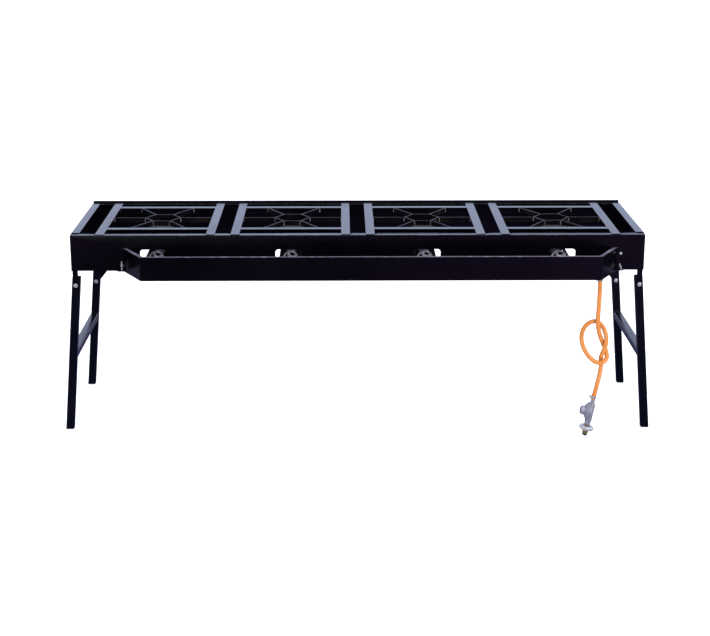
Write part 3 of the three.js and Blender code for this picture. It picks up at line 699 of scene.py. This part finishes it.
def make_burner_cap():
    """The cap with its ring of flame ports, its stud and its nut."""
    place = Matrix.Translation(at(BAYS[1], 0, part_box("burner_cap_1")[0].z))
    bm = bmesh.new()
    ports, per_port, port_depth = 12, 8, 0.007
    profile = [(0.0, 0.0, 0), (0.046, 0.0, 0), (0.0497, 0.002, 0), (0.0497, 0.0032, 1), (0.0497, 0.0062, 1),
               (0.0497, 0.007, 0), (0.0440, 0.0108, 0), (0.0220, 0.0128, 0), (0.0215, 0.0116, 0),
               (0.0, 0.0116, 0)]

    def reach(row, k):
        return max(row[0] - port_depth * row[2] * (k % per_port in (3, 4, 5)), 1e-6)

    loft(bm, fluted(place, profile, ports * per_port, reach))
    bmesh.ops.remove_doubles(bm, verts=bm.verts, dist=4e-6)
    soften(bm, 0.0004, 2, 35)
    nut = raised(place, 0.0112)
    hex_head(bm, nut, 0.0125, 0.0055)
    lathe(bm, threaded(0.0039, 0.0050, 0.0085), nut, 24, 0.0001)
    return piece("burner_cap_casting_1", bm, IRON, stands_for=["burner_cap_1"], smooth=30)


# ---- fasteners
def hex_head(bm, place, across, height, chamfer=0.0007, socket=0.0):
    """A hexagon whose outer corners are turned away, with a round recess where socket is its radius."""
    outline = hexagon(across)
    turned = [(x, y) if math.hypot(x, y) < across / 2 * 1.04 else
              (x * across * 0.52 / math.hypot(x, y), y * across * 0.52 / math.hypot(x, y))
              for x, y in outline]
    shrunk = [(x * 0.93, y * 0.93) for x, y in turned]
    rows = [(outline, 0), (outline, height - chamfer), (turned, height - chamfer * 0.4), (shrunk, height)]
    if socket:
        recess = circle(socket, len(outline))
        rows += [(recess, height), ([(x * 0.9, y * 0.9) for x, y in recess], height * 0.35)]
    loft(bm, [[place @ Vector((x, y, h)) for x, y in outline] for outline, h in rows])


def threaded(radius, start, end, pitch=0.00125):
    """A screw thread's profile, from the axis out and back."""
    turns = max(2, int((end - start) / pitch))
    step = (end - start) / turns
    profile = [(0, start)]
    for i in range(turns):
        profile += [(radius, start + (i + 0.25) * step), (radius - 0.0007, start + (i + 0.75) * step)]
    return [*profile, (radius - 0.0009, end), (0, end)]


def make_bolt(node, head, nut, direction, body, name):
    """Washer and hexagon head on one face, nut and thread on the other."""
    bm = bmesh.new()
    face, away = aimed(head, (0, -direction, 0), 0.3), aimed(nut, (0, direction, 0), 0.7)
    length = (nut - head).length
    ring(bm, 0.0041, 0.0066, 0.0, 0.0012, face)
    hex_head(bm, raised(face, 0.0012), 0.0100, 0.0038, socket=0.0027)
    hex_head(bm, raised(away, 0.0001), 0.0100, 0.0045)
    lathe(bm, threaded(0.0039, 0.0040, 0.0058), away, 24, 0.0001)
    lathe(bm, [(0, 0), (0.0039, 0), (0.0039, length), (0, length)], aimed(head, (0, direction, 0)), 24)
    piece(name, bm, ZINC, body, [node])


# ---- legs and stays
CROSSBAR_Z = 0.236


def leg_length(z):
    return (HINGE["z"] - z) / math.cos(SPLAY)


def on_leg(side, along, across, y=0.0):
    """A point on the leg frame's plane: along it from the hinge, and across it, outwards."""
    x = HINGE["x"] + along * math.sin(SPLAY) + across * math.cos(SPLAY)
    return at(side * x, y, HINGE["z"] - along * math.cos(SPLAY) + across * math.sin(SPLAY))


def leg_ring(side, y, outline, along=None, height=None):
    """The tube's section, square to the leg at a distance along it, or level at a height."""
    out = []
    for a, b in outline:
        t = along
        if height is not None:
            t = (HINGE["z"] + a * math.sin(SPLAY) - height) / math.cos(SPLAY)
        out.append(on_leg(side, t, a, y + b))
    return out


def make_leg(name, side, row, sign):
    """Drawn square tube with rounded corners, and the plastic cap in its foot."""
    y, body = sign * LEG["y"], f"leg_frame_{name}"
    outer = rounded_square(LEG["tube"], 0.0026)
    inner = rounded_square(LEG["tube"] - 2 * LEG["wall"], 0.0012)
    bm = bmesh.new()
    loft(bm, [leg_ring(side, y, outer, along=-LEG["above"]), leg_ring(side, y, outer, height=0.0032),
              leg_ring(side, y, inner, height=0.0032), leg_ring(side, y, inner, along=-LEG["above"])],
         loop=True)
    soften(bm, 0.0003, 2, 60)
    piece(f"leg_tube_{row}_{name}", bm, LEG_PAINT, body, [f"leg_{row}_{name}"])
    bm = bmesh.new()
    shape = ((0.0022, 0.0), (0.0008, 0.0003), (0.0001, 0.0012), (0.0001, 0.0030), (0.0018, 0.00315),
             (0.0018, 0.012))
    loft(bm, [leg_ring(side, y, rounded_square(LEG["tube"] - 2 * inset, 0.0032), height=h)
              for inset, h in shape])
    piece(f"foot_cap_{row}_{name}", bm, CAP_PLASTIC, body)


def make_crossbar(name, side):
    low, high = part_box(f"leg_crossbar_{name}")
    y0, y1 = low.y - TABLE_Y, high.y - TABLE_Y
    bm = bmesh.new()
    rings = []
    for width, corner, ends in ((0.024, 0.0026, (y0, y1)), (0.021, 0.0012, (y1, y0))):
        outline = rounded_square(width, corner)
        for y in ends:
            rings.append([on_leg(side, leg_length(CROSSBAR_Z) + b, a, y) for a, b in outline])
    loft(bm, rings, loop=True)
    soften(bm, 0.0003, 2, 60)
    piece(f"crossbar_tube_{name}", bm, LEG_PAINT, f"leg_frame_{name}", [f"leg_crossbar_{name}"])


STAY_SLOPE = math.radians(51)
STAY_FOOT_Z, STAY_PIN_Z = 0.353, 0.538


def stadium(length, radius, steps=12):
    """A bar with round ends, from its first end's centre along X."""
    half = math.pi / 2
    left = [(radius * math.cos(half + i * math.pi / steps), radius * math.sin(half + i * math.pi / steps))
            for i in range(steps + 1)]
    return left + [(length - x, -y) for x, y in left]


def make_stay(name, side):
    foot = on_leg(side, leg_length(STAY_FOOT_Z), 0)
    length = (STAY_PIN_Z - STAY_FOOT_Z) / math.sin(STAY_SLOPE)
    front = 0.2297
    direction = Vector((-side * math.cos(STAY_SLOPE), 0, math.sin(STAY_SLOPE)))
    pin = foot + direction * length
    place = Matrix((direction, direction.cross(Vector((0, 1, 0))), (0, 1, 0))).transposed().to_4x4()
    place = Matrix.Translation((foot.x, TABLE_Y + front, foot.z)) @ place
    bm = bmesh.new()
    prism(bm, stadium(length, 0.0079), 0.0001, 0.0024, place)
    soften(bm, 0.0005, 2)
    back = aimed((pin.x, TABLE_Y + front + 0.0012, pin.z), (0, -1, 0))
    lathe(bm, [(0, 0), (0.0039, 0), (0.0039, 0.0092), (0.0068, 0.0094), (0.0066, 0.0112), (0, 0.0122)],
          back, 32)
    piece(f"stay_bar_{name}", bm, LEG_PAINT, f"stay_arm_{name}", [f"stay_{name}"])


def make_hanger(name, side):
    bm = copy_of(f"leg_hanger_{name}")
    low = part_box(f"leg_hanger_{name}")[0].z
    soften(bm, 0.0045, 5, chosen=lambda e: near(e.verts[0].co.z, low) and near(e.verts[1].co.z, low)
           and abs(e.verts[0].co.y - e.verts[1].co.y) > 0.002)
    soften(bm, 0.0004, 2)
    piece(f"leg_hanger_plate_{name}", bm, FRAME_PAINT, stands_for=[f"leg_hanger_{name}"])


# ---- gas rail, taps and knobs
def make_gas_rail():
    """Steel pipe with a plug at one end, an elbow at the other and three welded brackets."""
    left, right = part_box("gas_rail")[0].x + 0.009, OUTLET_X + 0.009
    axis = aimed(at(left, PIPE["y"], PIPE["z"]), (1, 0, 0))
    elbow = at(OUTLET_X, PIPE["y"], PIPE["z"])
    r = PIPE["radius"] - 0.0001
    bm = bmesh.new()
    lathe(bm, [(0, 0), (r, 0), (r, right - left), (0, right - left)], axis, 48)
    hex_head(bm, raised(axis, 0.0015) @ Matrix.Rotation(math.pi, 4, "X"), 0.0222, 0.0103)
    lathe(bm, [(0, -0.012), (0.0138, -0.012), (0.0138, -0.008), (0.0125, -0.006), (0.0125, 0.006),
               (0.0138, 0.010), (0.0132, 0.0138), (0, 0.0138)], aimed(elbow, (1, 0, 0)))
    lathe(bm, [(0, 0), (0.0112, 0), (0.0112, 0.010), (0.0119, 0.0105), (0.0119, 0.0148), (0, 0.0148)],
          aimed(elbow, (0, 0, -1)))
    brackets = (-0.4, 0.0, 0.4)
    for x in brackets:
        block(bm, at(x - 0.009, PIPE["y"] + 0.004, 0.507), at(x + 0.009, -0.2372, 0.513))
        block(bm, at(x - 0.009, -0.2372, 0.507), at(x + 0.009, -0.2354, 0.534))
    soften(bm, 0.0004, 2, 50)
    for x in brackets:
        bead(bm, at(x - 0.008, -0.2722, 0.5142), at(x + 0.008, -0.2722, 0.5142), 0.0018)
    piece("gas_rail_pipe", bm, PIPE_PAINT, stands_for=["gas_rail"])


def make_tap(n):
    """Tap block on the rail, with its gland and spindle in front and its injector behind."""
    x = BAYS[n]
    y, z, half = PIPE["y"], JET_Z, 0.012
    bm = bmesh.new()
    block(bm, at(x - half, y - half, 0.5209), at(x + half, y + half, z + half))
    soften(bm, 0.0011, 3)
    back = aimed(at(x, y + half - 0.0002, z), (0, 1, 0))
    front = aimed(at(x, y - half + 0.0002, z), (0, -1, 0))
    lathe(bm, [(0, 0), (0.0079, 0), (0.0079, 0.006), (0.0062, 0.0075), (0.0062, 0.022), (0.0079, 0.0235),
               (0.0079, 0.034), (0, 0.034)], back, 40)
    hex_head(bm, raised(back, 0.0335), 0.0108, 0.0095)
    lathe(bm, [(0, 0.042), (0.0048, 0.042), (0.0048, 0.052), (0.003, 0.0598), (0.0011, 0.0598),
               (0.0009, 0.055), (0, 0.055)], back, 32, 0.0003)
    lathe(bm, threaded(0.0054, 0.0425, 0.0500), back, 32, 0.0001)
    hex_head(bm, front, 0.0150, 0.0045)
    lathe(bm, [(0, 0.004), (0.0039, 0.004), (0.0039, 0.0155), (0, 0.0155)], front, 32)
    piece(f"tap_valve_{n}", bm, PLATED, stands_for=[f"tap_body_{n}"])


def make_knob(n):
    """Fluted knob with a finger grip and a painted pointer line."""
    place = aimed(at(BAYS[n], -0.300, JET_Z), (0, -1, 0))
    bm = bmesh.new()
    flutes, per, depth = 24, 4, 0.0006
    rows = ((0.0045, 0, 0), (0.0155, 0, 0), (0.0172, 0.0006, 0), (0.0178, 0.002, 0.6), (0.0172, 0.011, 1.0),
            (0.0166, 0.0140, 0.4), (0.0158, 0.0149, 0), (0.0045, 0.0149, 0), (0.0045, 0.0100, 0))

    def reach(row, k):
        return row[0] - row[2] * depth * (1 - math.cos(2 * math.pi * k / per)) / 2

    loft(bm, fluted(place, rows, flutes * per, reach), loop=True)
    grip = bmesh.new()
    outline = [(a, b * 0.42) for a, b in rounded_square(0.0135, 0.004)]
    taper = ((1.10, 0.0130), (1.06, 0.0185), (0.98, 0.0204), (0.86, 0.0209))
    loft(grip, [[place @ Vector((b * t, a * t * 2.1, h)) for a, b in outline] for t, h in taper])
    mesh = mesh_of("grip", grip)
    bm.from_mesh(mesh)
    bpy.data.meshes.remove(mesh)
    piece(f"knob_moulding_{n}", bm, KNOB_PLASTIC, f"knob_{n}", [f"tap_knob_{n}"], 35)
    bm = bmesh.new()
    prism(bm, [(a * 0.16, 0.0085 + b * 0.75) for a, b in rounded_square(0.0062, 0.002)], 0.0206, 0.02096,
          place @ Matrix.Rotation(math.pi, 4, "Z"))
    piece(f"knob_pointer_{n}", bm, MARK_PAINT, f"knob_{n}")


# ---- what hangs on the hose
def make_clip(name, node, place):
    """Worm-drive clip: a slotted band, its housing and its screw."""
    inner = HOSE_DIAMETER / 2 + 0.0003
    bm = bmesh.new()
    ring(bm, inner, inner + 0.0010, 0.0005, 0.0085, place, 48, 0.0002)
    for k in range(9):
        angle = -1.9 + k * 0.42
        spot = place @ Matrix.Rotation(angle, 4, "Z") @ Matrix.Translation((inner + 0.0009, 0, 0.0045))
        prism(bm, [(a * 0.10, b) for a, b in rounded_square(0.0050, 0.0006, 2)], -0.0004, 0.0004,
              spot @ Matrix.Rotation(0.35, 4, "X"))
    housing = place @ Matrix.Translation((-inner - 0.0032, 0, 0.0045))
    shell = [(a * 0.0052, b * 0.0066) for a, b in rounded_square(1.0, 0.28)]
    loft(bm, [[housing @ Vector((a, h, b)) for a, b in shell] for h in (-0.0040, 0.0040)])
    soften(bm, 0.0003, 2, 50)
    screw = housing @ Matrix.Rotation(math.pi / 2, 4, "X")
    lathe(bm, threaded(0.0022, -0.0088, -0.0038, 0.0011), screw, 24, 0.0001)
    hex_head(bm, raised(screw, 0.0038), 0.0056, 0.0040, 0.0004)
    return piece(name, bm, ZINC, stands_for=[node])


# The diaphragm housing's own axis points to the left.
HOUSING = raised(HUNG, -0.038) @ Matrix.Rotation(-math.pi / 2, 4, "Y")
HOUSING_RADIUS = 0.0277
SCREWS = [HOUSING @ Matrix.Rotation((k + 0.5) * math.pi / 3, 4, "Z")
          @ Matrix.Translation((HOUSING_RADIUS - 0.0034, 0, 0)) for k in range(6)]


def make_regulator():
    """Die-cast body: the neck that the hose grips, the lower half of the housing and its bosses."""
    r = HOUSING_RADIUS
    bm = bmesh.new()
    lathe(bm, [(0, -0.0815), (0.0088, -0.0815), (0.0088, -0.0725), (0.0106, -0.0680), (0.0106, -0.0140),
               (0.0060, -0.0095), (0.0060, -0.0006), (0, -0.0006)], HUNG, 48, 0.0015)
    lathe(bm, [(0, -0.0078), (0.0138, -0.0078), (0.0195, -0.0050), (r - 0.0028, -0.0002), (r, 0.0004),
               (r, 0.0038), (0, 0.0038)], HOUSING, 64, 0.0008)
    for spot in SCREWS:
        lathe(bm, [(0, -0.0030), (0.0031, -0.0030), (0.0034, 0.0036), (0, 0.0036)], spot, 20, 0.0004)
    made = fused("regulator_casting", bm, 0.00055, DIE_CAST, 3, ["regulator_body"])
    bm = bmesh.new()
    for spot in SCREWS:
        lathe(bm, [(0, -0.0044), (0.0014, -0.0044), (0.0023, -0.0036), (0.0024, -0.0028), (0, -0.0028)],
              spot, 20, 0.0003)
    return made, piece("housing_screws", bm, ZINC)


def make_bonnet():
    """The domed upper half of the housing, its cap and its breather ribs."""
    r = HOUSING_RADIUS
    bm = bmesh.new()
    lathe(bm, [(0, 0.0045), (r, 0.0045), (r, 0.0076), (r - 0.0038, 0.0088), (0.0217, 0.0137), (0.0150, 0.0176),
               (0.0129, 0.0190), (0.0129, 0.0285), (0.0108, 0.0306), (0, 0.0306)], HOUSING, 72, 0.0012)
    for k in range(18):
        spot = HOUSING @ Matrix.Rotation(k * math.pi / 9, 4, "Z")
        block(bm, (0.0120, -0.0007, 0.0195), (0.0134, 0.0007, 0.0280), spot)
    neck = bmesh.new()
    lathe(neck, [(0, -0.09), (0.0114, -0.09), (0.0114, 0.0), (0, 0.0)], HUNG, 48, 0.0002)
    cutter = show("neck_space", mesh_of("neck_space", neck))
    made = fused("regulator_bonnet_casting", bm, 0.0005, DIE_CAST, 2, ["regulator_bonnet"], cutter)
    bpy.data.objects.remove(cutter)
    return made


def make_nozzle():
    """Hexagon shoulder, plain shank through the handwheel, and the bullnose with its seal."""
    bm = bmesh.new()
    hex_head(bm, raised(HUNG, -0.0824) @ Matrix.Rotation(math.pi, 4, "X"), 0.0180, 0.0012, 0.0002)
    lathe(bm, [(0, -0.1075), (0.0082, -0.1075), (0.0089, -0.1068), (0.0089, -0.0992), (0.0079, -0.0978),
               (0.0079, -0.0830), (0, -0.0830)], HUNG, 48)
    lathe(bm, [(0, -0.1092), (0.0060, -0.1092), (0.0060, -0.1070), (0, -0.1070)], HUNG, 40)
    made = piece("inlet_nozzle_turned", bm, BRASS, stands_for=["inlet_nozzle"])
    bm = bmesh.new()
    lathe(bm, [(0, -0.1149), (0.0040, -0.1149), (0.0062, -0.1140), (0.0074, -0.1122), (0.0074, -0.1100),
               (0.0062, -0.1086), (0, -0.1086)], HUNG, 40, 0.0004)
    return made, piece("nozzle_seal", bm, SEAL_RUBBER)


def make_handwheel():
    """Six-lobed hand nut with a dished face, a rounded rim and a bore for the nozzle's shank."""
    top, bottom, lobes, per, depth = -0.0842, -0.0958, 6, 16, 0.0026
    rows = [(0.0086, bottom + 0.0005, 0), (0.0094, bottom, 0), (0.0140, bottom, 0),
            (0.0185, bottom + 0.0004, 0.7), (0.0208, bottom + 0.0018, 1), (0.0219, bottom + 0.0042, 1),
            (0.0219, top - 0.0036, 1), (0.0207, top - 0.0012, 1), (0.0188, top, 0.7),
            (0.0160, top - 0.0010, 0.2), (0.0125, top - 0.0014, 0), (0.0108, top, 0), (0.0092, top, 0),
            (0.0086, top - 0.0005, 0)]

    def reach(row, k):
        return row[0] - row[2] * depth * max(0.0, math.cos(2 * math.pi * k / per)) ** 2

    bm = bmesh.new()
    loft(bm, fluted(HUNG, rows, lobes * per, reach), loop=True)
    return piece("handwheel_casting", bm, WHEEL_METAL, "wheel", ["handwheel"], 50)


def make_barb():
    bm = bmesh.new()
    place = aimed(at(OUTLET_X, PIPE["y"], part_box("hose_barb")[1].z), (0, 0, -1))
    hex_head(bm, place, 0.0188, 0.0046)
    lathe(bm, [(0, 0.0043), (0.0078, 0.0043), (0.0070, 0.0059), (0, 0.0059)], place, 40, 0.0003)
    piece("hose_barb_turned", bm, BRASS, stands_for=["hose_barb"])


# ---- guard fasteners
GUARD_TAB_Y = -HALF_DEPTH - 0.0024


def make_wing_nut(name, x, z, spin, size):
    """A screw through the guard's tab with a wing nut on it, its wings one above the other."""
    place = aimed(at(x, GUARD_TAB_Y, z), (0, -1, 0), spin) @ Matrix.Scale(size, 4)
    bm = bmesh.new()
    ring(bm, 0.0026, 0.0050, 0.0, 0.0008, place, 40, 0.0002)
    lathe(bm, [(0, 0.0008), (0.0040, 0.0008), (0.0032, 0.0058), (0, 0.0058)], place, 32, 0.0004)
    lathe(bm, threaded(0.0024, 0.0050, 0.0100, 0.0008), place, 24, 0.0001)
    for side in (-1, 1):
        rings = []
        for k in range(9):
            t = k / 8
            swell = math.sin(math.pi * min(1.0, 0.12 + t * 0.86)) ** 0.7
            out, rise = 0.0024 + t * 0.0116, 0.0026 + t * 0.0040
            wide, thick = 0.0018 + 0.0018 * swell, 0.0008 + 0.0026 * swell * t ** 0.4
            rings.append([place @ Vector((thick * c, side * out, rise + wide * s)) for c, s in circle(1, 16)])
        loft(bm, rings)
    piece(name, bm, ZINC)


def make_screw(name, x, z):
    """A pan-head screw."""
    place = aimed(at(x, GUARD_TAB_Y, z), (0, -1, 0))
    bm = bmesh.new()
    lathe(bm, [(0, 0), (0.0042, 0), (0.0041, 0.0012), (0.0030, 0.0022), (0.0010, 0.0026), (0, 0.0026)],
          place, 32, 0.0004)
    piece(name, bm, ZINC)


def make_air_shutter(n):
    """Plated shutter over the bell mouth: a rim, a hub round the jet, four arms and a clamp screw."""
    place = aimed(at(BAYS[n], -0.2037, JET_Z), (0, -1, 0), math.radians(20))
    bm = bmesh.new()
    ring(bm, 0.0188, 0.0240, 0.0, 0.0016, place, 64, 0.0003)
    ring(bm, 0.0068, 0.0105, 0.0, 0.0040, place, 40, 0.0003)
    for k in range(4):
        arm = place @ Matrix.Rotation(k * math.pi / 2, 4, "Z")
        block(bm, (0.0098, -0.0034, 0.0002), (0.0196, 0.0034, 0.0013), arm)
        vane = arm @ Matrix.Translation((0.0146, 0.0034, 0.0)) @ Matrix.Rotation(math.radians(-55), 4, "X")
        block(bm, (-0.0042, 0.0, 0.0), (0.0042, 0.0040, 0.0010), vane)
    soften(bm, 0.0002, 2, 50)
    screw = aimed(at(BAYS[n] + 0.008, -0.2050, JET_Z + 0.0215), (0, -1, 0), 0.4)
    hex_head(bm, screw, 0.0070, 0.0042, 0.0004)
    piece(f"air_shutter_{n}", bm, PLATED)


burner, burner_cap = make_burner(), make_burner_cap()
for n in BAYS:
    if n > 1:
        cast_again(burner, n, "burner_casting", "burner_body")
        cast_again(burner_cap, n, "burner_cap_casting", "burner_cap")
    make_support_welds(n)
    make_frame_welds(n)
    make_air_shutter(n)
    make_tap(n)
    make_knob(n)
make_gas_rail()
make_barb()

for name, side in SIDES.items():
    for row, sign in (("front", -1), ("rear", 1)):
        make_leg(name, side, row, sign)
        ear, inside = sign * (HALF_DEPTH - 0.002), sign * (LEG["y"] - LEG["tube"] / 2 - 0.0003)
        pivot = side * HINGE["x"]
        make_bolt(f"hinge_bolt_{row}_{name}", at(pivot, ear, HINGE["z"]), at(pivot, inside, HINGE["z"]),
                  -sign, "root", f"pivot_bolt_{row}_{name}")
    make_crossbar(name, side)
    make_stay(name, side)
    make_hanger(name, side)
    make_plain(f"stay_guide_{name}", 0.0004, FRAME_PAINT)
    foot = on_leg(side, leg_length(STAY_FOOT_Z), 0)
    make_bolt(f"stay_bolt_{name}", at(foot.x, LEG["y"] - 0.0113, foot.z), at(foot.x, 0.2325, foot.z), 1,
              f"leg_frame_{name}", f"stay_pivot_bolt_{name}")
    make_leg_welds(name, side)

make_clip("upper_clip", "hose_clip_upper", raised(Matrix.Translation(HOSE_POINTS[0]), -0.010))
lower_clip = make_clip("lower_clip", "hose_clip_lower", raised(HUNG, 0.003))
regulator, housing_screws = make_regulator()
bonnet = make_bonnet()
nozzle, nozzle_seal = make_nozzle()
handwheel = make_handwheel()
make_wing_nut("guard_wing_nut_left", -0.699, 0.517, 0.0, 1.0)
make_wing_nut("guard_wing_nut_right", 0.779, 0.512, 0.35, 0.75)
make_screw("guard_screw_right", 0.779, 0.551)

# Every CAD node still shown has its slot's finish.
for row in frame["record"]["subparts"]:
    shown = NODES[row["node"]]
    shown.data.materials.clear()
    shown.data.materials.append(SLOTS[row["material_slot"]][0])


# ---- floor and light
def make_floor():
    """A pale floor that reaches past every view's horizon."""
    bm = bmesh.new()
    bmesh.ops.create_circle(bm, cap_ends=True, radius=45, segments=96)
    floor = show("floor", mesh_of("floor", bm))
    finish = Finish("floor_paper", Roughness=0.9, IOR=1.2, Emission_Color=(1.0, 1.0, 1.0),
                    Emission_Strength=0.42)
    finish.link("Base Color", finish.mix(finish.noise(3.0), (0.95, 0.95, 0.95), (0.97, 0.97, 0.97)))
    floor.data.materials.append(finish.material)


def make_flag():
    """A studio flag on the floor: only gloss sees it, so upright faces mirror the dark."""
    bm = bmesh.new()
    block(bm, (-9, -12, 0.0003), (9, 12, 0.0006))
    flag = show("flag", mesh_of("flag", bm))
    material = bpy.data.materials.new("flag_cloth")
    material.use_nodes = True
    tree = material.node_tree
    tree.nodes.clear()
    place = add_node(tree, "ShaderNodeSeparateXYZ", {
        "Vector": add_node(tree, "ShaderNodeTexCoord").outputs["Object"]}).outputs
    in_front = mixed(tree, ramped(tree, place["X"], -0.9, 1.1), (0.015, 0.012, 0.04), (0.20, 0.10, 0.34))
    by_legs = mixed(tree, ramped(tree, place["Y"], -1.7, -0.9), in_front, (0.035, 0.045, 0.17))
    whole = mixed(tree, ramped(tree, place["Y"], 0.1, 0.8), by_legs, (0.13, 0.13, 0.24))
    glow = add_node(tree, "ShaderNodeEmission", {"Color": whole})
    output = add_node(tree, "ShaderNodeOutputMaterial")
    tree.links.new(glow.outputs[0], output.inputs["Surface"])
    flag.data.materials.append(material)
    flag.visible_camera = flag.visible_diffuse = flag.visible_shadow = flag.visible_transmission = False


def area_light(name, place, target, size, power, colour=(1, 1, 1), spread=180):
    data = bpy.data.lights.new(name, "AREA")
    data.shape = "RECTANGLE"
    data.size, data.size_y = size
    data.energy = power
    data.color = colour
    data.spread = math.radians(spread)
    light = show(name, data)
    light.location = place
    light.rotation_mode = "QUATERNION"
    light.rotation_quaternion = (Vector(target) - Vector(place)).to_track_quat("-Z", "Y")


def make_light():
    """A bright sky that is brighter and cooler behind the object, and a soft key from the front right."""
    world = bpy.data.worlds.new("studio")
    bpy.context.scene.world = world
    world.use_nodes = True
    tree = world.node_tree
    direction = add_node(tree, "ShaderNodeTexCoord").outputs["Generated"]
    away = add_node(tree, "ShaderNodeSeparateXYZ", {"Vector": direction}).outputs["Y"]
    behind = ramped(tree, away, 0.1, 0.85, interpolation_type="SMOOTHSTEP")
    sky = mixed(tree, behind, (0.85, 0.86, 0.92), (1.01, 1.14, 1.58))
    tree.links.new(sky, tree.nodes["Background"].inputs["Color"])
    area_light("overhead", (0, 0.6, 4.0), (0, 0.3, 0), (5, 3), 60)
    area_light("key", (2.6, -3.6, 2.6), (0.65, -0.2, 0.3), (1.6, 1.6), 14, (1.0, 0.97, 0.95), 60)


make_floor()
make_flag()
make_light()
bpy.context.scene.view_settings.view_transform = "Standard"
